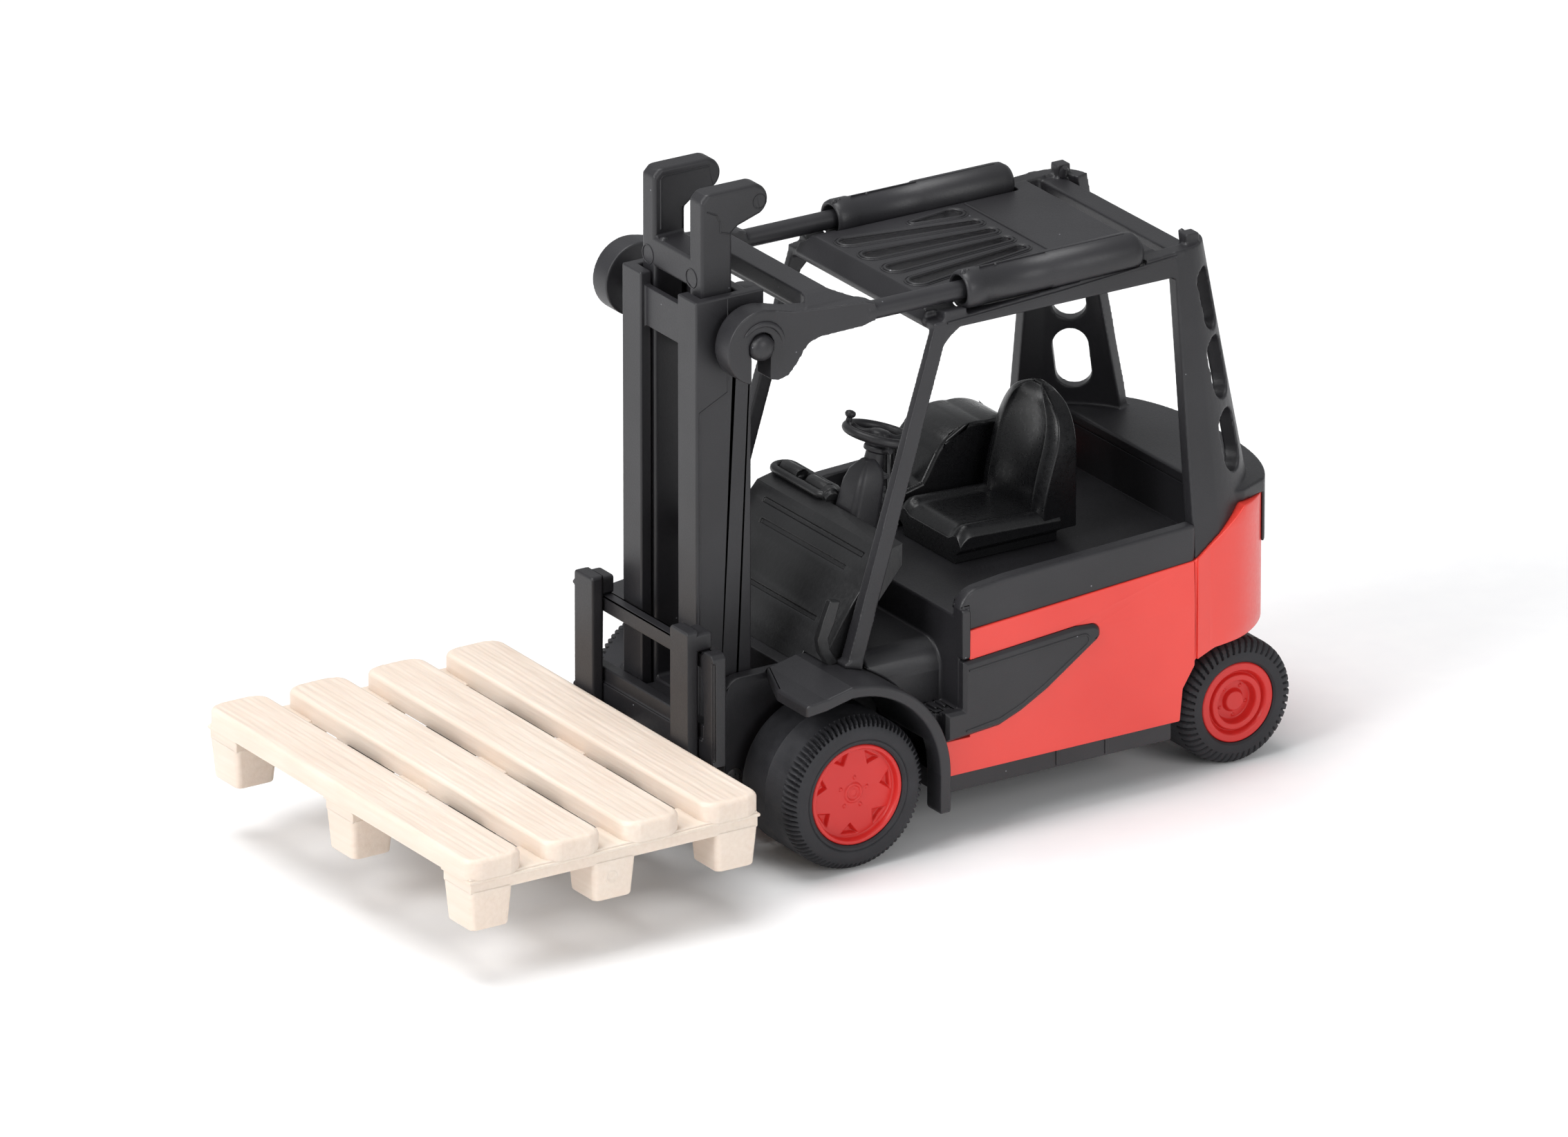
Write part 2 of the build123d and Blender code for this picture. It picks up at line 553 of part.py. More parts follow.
# Hood beside the seat, on the right, with the control levers
with BuildPart() as side_console:
    with BuildSketch(side(-6.0)):
        with BuildLine():
            Polyline((-17.6, DECK_Z), (-17.8, 23.4), (-21.2, 24.2), (-22.6, 26.6))
            ThreePointArc((-22.6, 26.6), (-24.6, 28.3), (-27.8, 28.6))
            ThreePointArc((-27.8, 28.6), (-31.8, 27.2), (-33.4, 24.0))
            Polyline((-33.4, 24.0), (-33.4, DECK_Z), (-17.6, DECK_Z))
        make_face()
    extrude(amount=6.6)
save(side_console.part, "side_console")

with BuildPart() as control_levers:
    for x, top in ((-18.6, 27.6), (-19.6, 27.9), (-20.6, 27.6)):
        with Locations((FRONT_AXLE_X + x, -8.2, (23.4 + top) / 2)):
            Cylinder(0.3, top - 23.4)
        with Locations((FRONT_AXLE_X + x, -8.2, top)):
            Sphere(0.5)
    add(side_console.part, mode=Mode.SUBTRACT)
save(control_levers.part, "control_levers")

# Stub pins that carry the mast foot in the cheeks
with BuildPart() as mast_pivot_pins:
    cross_rod(PIVOT_X, PIVOT_Z, AXLE_R, MAST_OUT - WEB + 0.15, CHEEK_OUT)
    cross_rod(PIVOT_X, PIVOT_Z, AXLE_R, -CHEEK_OUT, -(MAST_OUT - WEB + 0.15))
save(mast_pivot_pins.part, "mast_pivot_pins")

# Rivets that close the base under the shell
with BuildPart() as base_rivets:
    for x in RIVETS_X:
        with BuildSketch(level(BASE_Z)):
            with Locations((x, 0)):
                Circle(1.5)
        extrude(amount=-0.5)
        with BuildSketch(level(BASE_Z)):
            with Locations((x, 0)):
                Circle(RIVET_R)
        extrude(amount=3.0)
    chamfer(base_rivets.faces().sort_by(Axis.Z)[:2].edges(), 0.25)
save(base_rivets.part, "base_rivets")

# Outer mast: two channels open to the inside, tied in front at the top and behind
with BuildPart() as outer_mast:
    for sign in (-1, 1):
        y0, y1 = sorted((sign * MAST_IN, sign * MAST_OUT))
        block(MAST_REAR, MAST_FRONT, y0, y1, BASE_Z, MAST_TOP)
        y0, y1 = sorted((sign * (MAST_IN - 1), sign * (MAST_OUT - WEB)))
        block(MAST_REAR + 0.95, MAST_FRONT - 1.1, y0, y1, 0, 60, Mode.SUBTRACT)
        # lug behind the head of each channel
        y0, y1 = sorted((sign * 4.9, sign * MAST_OUT))
        block(MAST_REAR - 1.3, MAST_REAR, y0, y1, 49.7, MAST_TOP)
        # bearing for the foot pin
        y0, y1 = sorted((sign * (MAST_OUT - WEB - 0.5), sign * (MAST_OUT + 0.1)))
        cross_rod(PIVOT_X, PIVOT_Z, AXLE_R + RUNNING_FIT, y0, y1, Mode.SUBTRACT)
    block(MAST_FRONT - 1.1, MAST_FRONT - 0.5, -MAST_IN, MAST_IN, 46.3, 49.9)
    for z0, z1 in ((BASE_Z, 11.0), (25.5, 28.0), (43.5, MAST_TOP)):
        block(MAST_REAR, MAST_REAR + 0.95, -MAST_IN, MAST_IN, z0, z1)
    # trunnions for the yoke eyes
    cross_rod(EYE_X, EYE_Z, PIN_R, MAST_OUT - 0.2, EYE_Y[0] + EYE_T / 2 + 0.4)
    cross_rod(EYE_X, EYE_Z, PIN_R, EYE_Y[1] - EYE_T / 2 - 0.4, -MAST_OUT + 0.2)
    domes = outer_mast.faces().sort_by(Axis.Y)
    chamfer(domes[-1].edges() + domes[0].edges(), 0.35)
save(outer_mast.part, "outer_mast")

# Tilt yoke: two eyes on the mast trunnions, arms, cross bar and the rods that enter the cylinders
ARM_REAR = -5.3
with BuildPart() as tilt_yoke:
    for eye_y, rod_y in zip(EYE_Y, (ROD_Y, -ROD_Y)):
        cross_rod(EYE_X, EYE_Z, EYE_R, eye_y - EYE_T / 2, eye_y + EYE_T / 2)
        with BuildSketch(front(3.6)):
            with Locations((eye_y, 48.6)):
                Rectangle(EYE_T, 3.4)
        with BuildSketch(front(ARM_REAR)):
            with Locations((rod_y, ROD_Z)):
                Rectangle(1.5, 1.7)
        loft()
        with BuildSketch(front(ARM_REAR)):
            with Locations((rod_y, ROD_Z)):
                Circle(ROD_R)
        extrude(amount=-15.2)
    block(-3.0, -0.5, -10.4, 9.2, 48.2, 50.4)
    # eyes are open downwards so that the yoke snaps over the trunnions
    for eye_y in EYE_Y:
        cross_rod(EYE_X, EYE_Z, PIN_R + 0.1, eye_y - EYE_T, eye_y + EYE_T, Mode.SUBTRACT)
        block(EYE_X - 0.95, EYE_X + 0.95, eye_y - EYE_T, eye_y + EYE_T, EYE_Z - EYE_R - 1, EYE_Z,
              Mode.SUBTRACT)
save(tilt_yoke.part, "tilt_yoke")

# Inner mast: two rails in the channels, ending in hooks that point to the rear
with BuildPart() as inner_mast:
    for y0 in (-RAIL_OUT, RAIL_IN):
        with BuildSketch(side(y0 + RAIL_OUT - RAIL_IN)):
            with BuildLine():
                Polyline((RAIL_REAR, 9.2), (RAIL_FRONT, 9.2), (RAIL_FRONT, 59.8),
                         (RAIL_FRONT - 0.6, HOOK_TOP),
                         (3.0, HOOK_TOP))
                ThreePointArc((3.0, HOOK_TOP), (1.7, 59.1), (2.5, 57.6))
                Polyline((2.5, 57.6), (4.7, 56.9), (RAIL_REAR, 56.4), (RAIL_REAR, 9.2))
            make_face()
        extrude(amount=RAIL_OUT - RAIL_IN)
    block(RAIL_REAR + 0.3, RAIL_FRONT, -RAIL_IN, RAIL_IN, 51.5, 54.3)
    block(RAIL_REAR + 0.6, RAIL_FRONT, -RAIL_IN, RAIL_IN, 9.2, 13.4)
save(inner_mast.part, "inner_mast")

# Fork carriage: two bars and two side plates, joined to the inner mast between the channels
with BuildPart() as fork_carriage:
    for sign in (-1, 1):
        # plate with a bevelled recess in its inner edge and a rebate down its outer corner
        with BuildSketch(front(PLATE_REAR)):
            with BuildLine():
                Polyline(
                    (sign * PLATE_OUT, 10.2), (sign * PLATE_OUT, 20.25),
                    (sign * (PLATE_OUT - 0.35), PLATE_TOP),
                    (sign * (PLATE_IN + 0.35), PLATE_TOP), (sign * PLATE_IN, 20.25),
                    (sign * PLATE_IN, 18.2),
                    (sign * (PLATE_IN + 0.35), 17.6), (sign * (PLATE_IN + 0.35), 12.6),
                    (sign * PLATE_IN, 12.0),
                    (sign * PLATE_IN, 10.2), close=True,
                )
            make_face()
        extrude(amount=PLATE_FRONT - PLATE_REAR)
        y0, y1 = sorted((sign * (PLATE_OUT - 0.2), sign * (PLATE_OUT + 0.1)))
        block(PLATE_FRONT - 0.25, PLATE_FRONT + 0.1, y0, y1, 10.8, 19.9, Mode.SUBTRACT)
    # upper bar, and the lower bar with its stepped front
    block(PLATE_REAR + 0.2, PLATE_FRONT - 0.2, -PLATE_IN - 0.1, PLATE_IN + 0.1, 18.8, 20.3)
    block(PLATE_REAR, PLATE_FRONT, -PLATE_IN - 0.1, PLATE_IN + 0.1, TINE_TOP - 0.6, 12.3)
    block(PLATE_REAR, PLATE_FRONT - 0.2, -PLATE_IN - 0.1, PLATE_IN + 0.1, 12.3, 13.6)
    block(RAIL_FRONT, PLATE_REAR, -2.4, 2.4, 9.7, 13.2)
save(fork_carriage.part, "fork_carriage")

# Fork arm: upright shank hung on the carriage, flat tine with a tapered tip
with BuildPart() as fork:
    y0, y1 = SHANK_Y - SHANK_W / 2, SHANK_Y + SHANK_W / 2
    block(PLATE_FRONT, SHANK_FRONT, y0, y1, TINE_TOP - TINE_T, 22.3)
    block(PLATE_REAR, PLATE_FRONT, y0 + 0.4, y1, 20.3, 22.0)
    with BuildSketch(level(TINE_TOP - TINE_T)):
        with BuildLine():
            Polyline((PLATE_FRONT, TINE_Y - TINE_W / 2), (FORK_TIP - 4, TINE_Y - TINE_W / 2),
                     (FORK_TIP, TINE_Y - TINE_W / 4), (FORK_TIP, TINE_Y + TINE_W / 4),
                     (FORK_TIP - 4, TINE_Y + TINE_W / 2), (PLATE_FRONT, TINE_Y + TINE_W / 2), close=True)
        make_face()
    extrude(amount=TINE_T)
    # the underside rises towards the tip
    with BuildSketch(side()):
        with BuildLine():
            Polyline((FORK_TIP - 12, TINE_TOP - TINE_T), (FORK_TIP + 1, TINE_TOP - 0.45),
                     (FORK_TIP + 1, TINE_TOP - 3), (FORK_TIP - 12, TINE_TOP - 3), close=True)
        make_face()
    extrude(amount=20, both=True, mode=Mode.SUBTRACT)
save_pair(fork.part, "fork")

# Pallet: four deck boards on three stringer boards on nine blocks, one moulding
SLAT_PITCH = (PALLET_FRONT - PALLET_REAR - SLAT_W) / 3
with BuildPart() as pallet:
    centre_x = FRONT_AXLE_X + (PALLET_REAR + PALLET_FRONT) / 2
    with BuildSketch(Plane.XY.offset(SLAT_BOTTOM)):
        with Locations((centre_x, 0)):
            with GridLocations(SLAT_PITCH, 1, 4, 1):
                RectangleRounded(SLAT_W, 2 * PALLET_HALF, 0.7)
    extrude(amount=SLAT_TOP - SLAT_BOTTOM)
    chamfer(pallet.faces().sort_by(Axis.Z)[-4:].edges(), 0.3)
    for y in (-PALLET_HALF + 2.4, 0, PALLET_HALF - 2.4):
        block(PALLET_REAR + 0.3, PALLET_FRONT - 0.3, y - 2.2, y + 2.2, STRINGER_BOTTOM, SLAT_BOTTOM)
    with BuildSketch(Plane.XY.offset(STRINGER_BOTTOM)):
        with Locations((centre_x, 0)):
            with GridLocations((PALLET_FRONT - PALLET_REAR - 4.8) / 2, PALLET_HALF - 2.4, 3, 3):
                RectangleRounded(4.4, 4.6, 0.6)
    extrude(amount=BLOCK_BOTTOM - STRINGER_BOTTOM, taper=4)
save(pallet.part, "pallet")

# Wheels: tyre, hub and axle of each end
def wheel(name, axle_x, tyre_r, hub_r, y_in, y_out):
    """Tyre and hub of the left wheel, revolved about the axle, and their mirror images."""
    axle = Axis((FRONT_AXLE_X + axle_x, 0, tyre_r), (0, 1, 0))
    profile = Plane(origin=(FRONT_AXLE_X + axle_x, 0, tyre_r), x_dir=(0, 1, 0), z_dir=(1, 0, 0))
    shoulder = 0.9
    with BuildPart() as tyre:
        with BuildSketch(profile) as tyre_profile:
            with BuildLine() as tyre_line:
                Polyline((y_in, hub_r), (y_in, tyre_r - shoulder))
                RadiusArc((y_in, tyre_r - shoulder), (y_in + shoulder, tyre_r), shoulder)
                Line((y_in + shoulder, tyre_r), (y_out - shoulder, tyre_r))
                RadiusArc((y_out - shoulder, tyre_r), (y_out, tyre_r - shoulder), shoulder)
                Polyline((y_out, tyre_r - shoulder), (y_out, hub_r), (y_in, hub_r))
            make_face(tyre_line.edges())
        revolve(tyre_profile.sketch, axis=axle)
    save_pair(tyre.part, f"{name}_tyre")
    with BuildPart() as hub:
        with BuildSketch(profile) as hub_profile:
            with BuildLine() as hub_line:
                Polyline(
                    (y_in, AXLE_R), (y_in, hub_r), (y_out - 0.2, hub_r), (y_out - 0.2, hub_r - 0.4),
                    (y_out - 1.0, hub_r - 0.8), (y_out - 0.9, 1.6), (y_out - 0.4, 1.3), (y_out - 0.4, 0),
                    (y_out - 1.6, 0), (y_out - 1.6, AXLE_R), close=True,
                )
            make_face(hub_line.edges())
        revolve(hub_profile.sketch, axis=axle)
    save_pair(hub.part, f"{name}_hub")
    with BuildPart() as axle_rod:
        cross_rod(axle_x, tyre_r, AXLE_R, -(y_out - 1.6), y_out - 1.6)
    save(axle_rod.part, f"{name}_axle")


wheel("front", 0, FRONT_TYRE_R, FRONT_HUB_R, FRONT_TYRE_IN, FRONT_TYRE_OUT)
wheel("rear", -WHEELBASE, REAR_TYRE_R, REAR_HUB_R, REAR_TYRE_IN, REAR_TYRE_OUT)
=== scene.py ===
import json
from math import asin, atan2, cos, degrees, hypot, pi, radians, sin, tau

import bmesh
import bpy
from mathutils import Matrix, Vector, noise


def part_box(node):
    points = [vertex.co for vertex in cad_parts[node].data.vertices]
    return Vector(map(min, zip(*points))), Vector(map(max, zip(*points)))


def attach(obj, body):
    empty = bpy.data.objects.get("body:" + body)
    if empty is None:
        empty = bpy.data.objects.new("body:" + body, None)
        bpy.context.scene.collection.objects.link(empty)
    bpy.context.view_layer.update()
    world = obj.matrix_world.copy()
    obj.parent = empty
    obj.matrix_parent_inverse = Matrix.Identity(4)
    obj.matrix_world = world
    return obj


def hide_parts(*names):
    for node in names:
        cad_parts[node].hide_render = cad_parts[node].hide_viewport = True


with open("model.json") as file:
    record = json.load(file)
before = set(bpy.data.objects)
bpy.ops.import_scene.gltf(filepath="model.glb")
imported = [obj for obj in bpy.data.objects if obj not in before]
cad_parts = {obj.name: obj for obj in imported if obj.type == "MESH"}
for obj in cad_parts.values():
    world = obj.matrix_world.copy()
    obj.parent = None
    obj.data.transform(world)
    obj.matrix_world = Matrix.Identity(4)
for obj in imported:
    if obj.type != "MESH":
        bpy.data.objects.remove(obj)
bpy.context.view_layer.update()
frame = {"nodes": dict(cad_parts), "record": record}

# Shapes are written in millimetres, with x measured forward from the front axle, as on the CAD drawing.
MM = 0.001
AXLE_X = sum(corner.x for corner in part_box("front_axle")) / 2
TO_METRES = Matrix.Translation((AXLE_X, 0, 0)) @ Matrix.Scale(MM, 4)


def span(node):
    """Lowest and highest corner of a CAD node, in millimetres, x from the front axle."""
    low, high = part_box(node)
    shift = Vector((AXLE_X, 0, 0))
    return (low - shift) / MM, (high - shift) / MM


# ---------------------------------------------------------------- materials

def new_material(name, colour, roughness, specular=0.5):
    """Material with a Principled shader and object coordinates; returns it with its node helpers."""
    material = bpy.data.materials.new(name)
    material.use_nodes = True
    tree = material.node_tree
    shader = tree.nodes["Principled BSDF"]
    shader.inputs["Base Color"].default_value = (*colour, 1)
    shader.inputs["Roughness"].default_value = roughness
    shader.inputs["Specular IOR Level"].default_value = specular
    place = tree.nodes.new("ShaderNodeTexCoord")
    return material, tree, shader, place.outputs["Object"]


def grain(tree, place, size, detail=3.0, stretch=(1, 1, 1)):
    """Noise value whose features measure about `size` millimetres."""
    mapping = tree.nodes.new("ShaderNodeMapping")
    mapping.inputs["Scale"].default_value = stretch
    tree.links.new(place, mapping.inputs["Vector"])
    texture = tree.nodes.new("ShaderNodeTexNoise")
    texture.inputs["Scale"].default_value = 1 / (size * MM)
    texture.inputs["Detail"].default_value = detail
    tree.links.new(mapping.outputs["Vector"], texture.inputs["Vector"])
    return texture.outputs["Fac"]


def ramp(tree, value, low, high, *stops):
    """Colour ramp from `low` to `high` between two stop positions."""
    node = tree.nodes.new("ShaderNodeValToRGB")
    first, last = node.color_ramp.elements
    first.position, last.position = stops or (0.3, 0.7)
    first.color = (*low, 1)
    last.color = (*high, 1)
    tree.links.new(value, node.inputs["Fac"])
    return node.outputs["Color"]


def spread(tree, value, low, high):
    """Maps a noise value to the range low..high."""
    node = tree.nodes.new("ShaderNodeMapRange")
    node.inputs["From Min"].default_value = 0.3
    node.inputs["From Max"].default_value = 0.7
    node.inputs["To Min"].default_value = low
    node.inputs["To Max"].default_value = high
    tree.links.new(value, node.inputs["Value"])
    return node.outputs["Result"]


def relief(tree, shader, layers):
    """Chains bumps: each layer is (height value, depth in millimetres)."""
    normal = None
    for height, depth in layers:
        bump = tree.nodes.new("ShaderNodeBump")
        bump.inputs["Strength"].default_value = 1.0
        bump.inputs["Distance"].default_value = depth * MM
        tree.links.new(height, bump.inputs["Height"])
        if normal:
            tree.links.new(normal, bump.inputs["Normal"])
        normal = bump.outputs["Normal"]
    tree.links.new(normal, shader.inputs["Normal"])


def dusted(tree, place, tone):
    """Adds a few dust specks, one or two tenths of a millimetre across, to a colour."""
    cells = tree.nodes.new("ShaderNodeTexVoronoi")
    cells.inputs["Scale"].default_value = 1 / (2.6 * MM)
    tree.links.new(place, cells.inputs["Vector"])
    speck = ramp(tree, cells.outputs["Distance"], (1, 1, 1), (0, 0, 0), 0.020, 0.034)
    mix = tree.nodes.new("ShaderNodeMix")
    mix.data_type = "RGBA"
    tree.links.new(speck, mix.inputs[0])
    tree.links.new(tone, mix.inputs[6])
    mix.inputs[7].default_value = (0.20, 0.20, 0.22, 1)
    return mix.outputs[2]


def moulded_plastic(name, dark, light, roughness, wave_depth, texture_size, texture_depth,
                    gloss_spread=0.08, dusty=False):
    """Injection-moulded plastic: uneven tone, spark-eroded grain, slightly uneven gloss, sink waves."""
    material, tree, shader, place = new_material(name, dark, roughness)
    broad = grain(tree, place, 9.0, 2.0)
    fine = grain(tree, place, texture_size, 4.0)
    waves = grain(tree, place, 3.5, 1.0)
    tone = ramp(tree, broad, dark, light)
    tree.links.new(dusted(tree, place, tone) if dusty else tone, shader.inputs["Base Color"])
    tree.links.new(spread(tree, fine, roughness, roughness + gloss_spread), shader.inputs["Roughness"])
    relief(tree, shader, [(waves, wave_depth), (fine, texture_depth)])
    return material


def red_paint():
    """Satin enamel over a casting: tiny orange peel and a thin clear layer."""
    material, tree, shader, place = new_material("red_enamel", (0.78, 0.045, 0.032), 0.36)
    shader.inputs["Coat Weight"].default_value = 0.25
    shader.inputs["Coat Roughness"].default_value = 0.22
    broad = grain(tree, place, 12.0, 2.0)
    peel = grain(tree, place, 0.35, 2.0)
    waves = grain(tree, place, 4.0, 1.0)
    tone = ramp(tree, broad, (0.74, 0.040, 0.028), (0.82, 0.056, 0.040))
    tree.links.new(tone, shader.inputs["Base Color"])
    tree.links.new(spread(tree, peel, 0.33, 0.42), shader.inputs["Roughness"])
    relief(tree, shader, [(waves, 0.020), (peel, 0.006)])
    return material


def tyre_rubber():
    """Matt vinyl tyre with fine turning marks around the sidewall and a dusty bloom."""
    material, tree, shader, place = new_material("tyre_vinyl", (0.020, 0.020, 0.024), 0.62, 0.4)
    fine = grain(tree, place, 0.16, 4.0)
    dust = grain(tree, place, 2.2, 5.0)
    tone = ramp(tree, dust, (0.016, 0.016, 0.019), (0.030, 0.030, 0.034), 0.35, 0.75)
    tree.links.new(tone, shader.inputs["Base Color"])
    tree.links.new(spread(tree, dust, 0.55, 0.72), shader.inputs["Roughness"])
    relief(tree, shader, [(fine, 0.012)])
    return material


def cream_plastic():
    """Warm cream moulding with wood-grain streaks along the boards and a little light inside."""
    base = (0.77, 0.65, 0.56)
    material, tree, shader, place = new_material("cream_moulding", base, 0.5)
    shader.inputs["Subsurface Weight"].default_value = 0.12
    shader.inputs["Subsurface Scale"].default_value = 0.9 * MM
    shader.inputs["Subsurface Radius"].default_value = (1.0, 0.6, 0.4)
    streaks = grain(tree, place, 0.45, 4.0, (1, 0.06, 1))
    broad = grain(tree, place, 8.0, 2.0)
    fine = grain(tree, place, 0.12, 2.0)
    tone = ramp(tree, broad, (0.76, 0.640, 0.545), (0.80, 0.695, 0.60))
    mix = tree.nodes.new("ShaderNodeMix")
    mix.data_type = "RGBA"
    mix.blend_type = "MULTIPLY"
    mix.inputs[0].default_value = 0.5
    tree.links.new(tone, mix.inputs[6])
    tree.links.new(ramp(tree, streaks, (0.88, 0.84, 0.80), (1, 1, 1)), mix.inputs[7])
    tree.links.new(mix.outputs[2], shader.inputs["Base Color"])
    tree.links.new(spread(tree, streaks, 0.46, 0.58), shader.inputs["Roughness"])
    relief(tree, shader, [(streaks, 0.030), (fine, 0.005)])
    return material


def steel():
    """Drawn steel wire with length marks."""
    material, tree, shader, place = new_material("drawn_steel", (0.5, 0.5, 0.51), 0.32)
    shader.inputs["Metallic"].default_value = 1.0
    marks = grain(tree, place, 0.2, 3.0, (1, 0.05, 1))
    tree.links.new(ramp(tree, marks, (0.42, 0.42, 0.43), (0.56, 0.56, 0.57)), shader.inputs["Base Color"])
    tree.links.new(spread(tree, marks, 0.25, 0.42), shader.inputs["Roughness"])
    relief(tree, shader, [(marks, 0.006)])
    return material


BLACK = (0.0135, 0.0130, 0.0150)
BLACK_LIGHT = (0.0210, 0.0205, 0.0235)
LOOKS = {
    "red_paint": red_paint(),
    "red_plastic": moulded_plastic("red_moulding", (0.56, 0.016, 0.014), (0.64, 0.024, 0.020),
                                   0.34, 0.012, 0.12, 0.004),
    "black_plastic": moulded_plastic("black_moulding", BLACK, BLACK_LIGHT, 0.40, 0.030, 0.15, 0.010,
                                     dusty=True),
    "black_gloss": moulded_plastic("black_gloss_moulding", (0.006, 0.006, 0.007), (0.010, 0.010, 0.011),
                                   0.24, 0.012, 0.42, 0.012, 0.10),
    "tyre_rubber": tyre_rubber(),
    "cream_plastic": cream_plastic(),
    "steel": steel(),
}
COWL_LOOK = moulded_plastic("black_grained_moulding", (0.012, 0.012, 0.013), (0.017, 0.017, 0.018),
                            0.34, 0.025, 0.40, 0.022, 0.10)


# ---------------------------------------------------------------- mesh helpers

def soften(thing, width, angle=32.0, segments=3):
    """Rounds every sharp edge of a piece by `width` millimetres."""
    bevel = thing.modifiers.new("rounded_edges", "BEVEL")
    bevel.width = width * MM
    bevel.segments = segments
    bevel.limit_method = "ANGLE"
    bevel.angle_limit = radians(angle)
    bevel.use_clamp_overlap = False
    bevel.harden_normals = True


def piece(name, bm, slot, body, rounding=0.0, look=None, replaces=(), smooth=38.0):
    """Turns a bmesh in millimetres into a named object that rides on a CAD body."""
    bmesh.ops.recalc_face_normals(bm, faces=bm.faces)
    bmesh.ops.transform(bm, matrix=TO_METRES, verts=bm.verts)
    mesh = bpy.data.meshes.new(name)
    bm.to_mesh(mesh)
    bm.free()
    mesh.materials.append(look or LOOKS[slot])
    mesh.shade_smooth()
    mesh.set_sharp_from_angle(angle=radians(smooth))
    thing = bpy.data.objects.new(name, mesh)
    bpy.context.scene.collection.objects.link(thing)
    if rounding:
        soften(thing, rounding)
    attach(thing, body)
    if replaces:
        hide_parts(*replaces)
    return thing


def loft(bm, loops, closed=True, caps=True):
    """Skins a list of loops with equal point counts; every point is (x, y, z)."""
    rings = [[bm.verts.new(point) for point in loop] for loop in loops]
    count = len(rings[0])
    for low, high in zip(rings, rings[1:]):
        for i in range(count if closed else count - 1):
            j = (i + 1) % count
            bm.faces.new((low[i], low[j], high[j], high[i]))
    if caps:
        bm.faces.new(rings[0])
        bm.faces.new(rings[-1])


def side_prism(bm, outline, y0, y1):
    """Side outline (x, z) extruded from y0 to y1."""
    loft(bm, [[(x, y, z) for x, z in outline] for y in (y0, y1)])


def plan_prism(bm, outline, z0, z1):
    """Plan outline (x, y) extruded from z0 to z1."""
    loft(bm, [[(x, y, z) for x, y in outline] for z in (z0, z1)])


def box(bm, x0, x1, y0, y1, z0, z1):
    plan_prism(bm, [(x0, y0), (x1, y0), (x1, y1), (x0, y1)], z0, z1)


def arc(centre, radius, start, end, steps=12):
    """Points on a circle between two angles in degrees."""
    angles = [radians(start + (end - start) * i / steps) for i in range(steps + 1)]
    return [(centre[0] + radius * cos(a), centre[1] + radius * sin(a)) for a in angles]


def rounded_rectangle(x, y, z, half_x, half_y, radius, steps):
    """Level loop of a rectangle about (x, y) whose corners are arcs of `steps` chords."""
    loop = []
    for sx, sy, start in ((1, 1, 0), (-1, 1, 90), (-1, -1, 180), (1, -1, 270)):
        middle = (x + sx * (half_x - radius), y + sy * (half_y - radius))
        loop += [(px, py, z) for px, py in arc(middle, radius, start, start + 90, steps)]
    return loop


def lathe(bm, profile, centre, axis, steps=64):
    """Revolves (distance along the axis, radius) points about an axis through `centre`."""
    axis = Vector(axis).normalized()
    across = axis.orthogonal().normalized()
    other = axis.cross(across)
    centre = Vector(centre)
    rings = []
    for along, radius in profile:
        middle = centre + axis * along
        if radius == 0:
            rings.append([bm.verts.new(middle)])
            continue
        turns = [tau * i / steps for i in range(steps)]
        rings.append([bm.verts.new(middle + radius * (across * cos(a) + other * sin(a))) for a in turns])
    for low, high in zip(rings, rings[1:]):
        for i in range(steps):
            j = (i + 1) % steps
            corners = [low[i % len(low)], low[j % len(low)], high[j % len(high)], high[i % len(high)]]
            bm.faces.new(list(dict.fromkeys(corners)))


def tube(bm, path, radius, closed=False, sides=12):
    """Round bar along a list of points; radius is one number or one per point."""
    path = [Vector(point) for point in path]
    count = len(path)
    radii = radius if isinstance(radius, (list, tuple)) else [radius] * count
    side_hint = None
    loops = []
    for i, point in enumerate(path):
        before = path[i - 1] if closed or i else point
        after = path[(i + 1) % count] if closed or i < count - 1 else point
        tangent = (after - before).normalized()
        if side_hint is None:
            side_hint = tangent.orthogonal()
        side_hint = (side_hint - tangent * side_hint.dot(tangent)).normalized()
        up = tangent.cross(side_hint)
        turns = [tau * k / sides for k in range(sides)]
        loops.append([point + radii[i] * (side_hint * cos(a) + up * sin(a)) for a in turns])
    if closed:
        loops.append(loops[0])
    loft(bm, loops, caps=not closed)
    if closed:
        bmesh.ops.remove_doubles(bm, verts=bm.verts, dist=1e-5)


def smoothstep(low, high, value):
    share = min(1.0, max(0.0, (value - low) / (high - low)))
    return share * share * (3 - 2 * share)


# ---------------------------------------------------------------- CAD nodes that stay

def keep_cad(node, rounding, look=None):
    """Gives a CAD node its finished material and, by modifiers only, softly rounded edges."""
    thing = frame["nodes"][node]
    for material_slot in thing.material_slots:
        material_slot.material = look or LOOKS[NODE_SLOT[node]]
    if node == "overhead_guard":
        melt_edges(thing)
    elif rounding:
        weld = thing.modifiers.new("joined_faces", "WELD")
        weld.merge_threshold = 0.0005 * MM
        soften(thing, rounding)


def melt_edges(thing, voxel=0.13, passes=4):
    """Rounds the edges and inner corners of a thin moulding with many slanted joints."""
    remesh = thing.modifiers.new("even_skin", "REMESH")
    remesh.mode = "VOXEL"
    remesh.voxel_size = voxel * MM
    remesh.use_smooth_shade = True
    smooth = thing.modifiers.new("melted_edges", "SMOOTH")
    smooth.factor = 0.5
    smooth.iterations = passes
    fewer = thing.modifiers.new("fewer_faces", "DECIMATE")
    fewer.ratio = 0.3


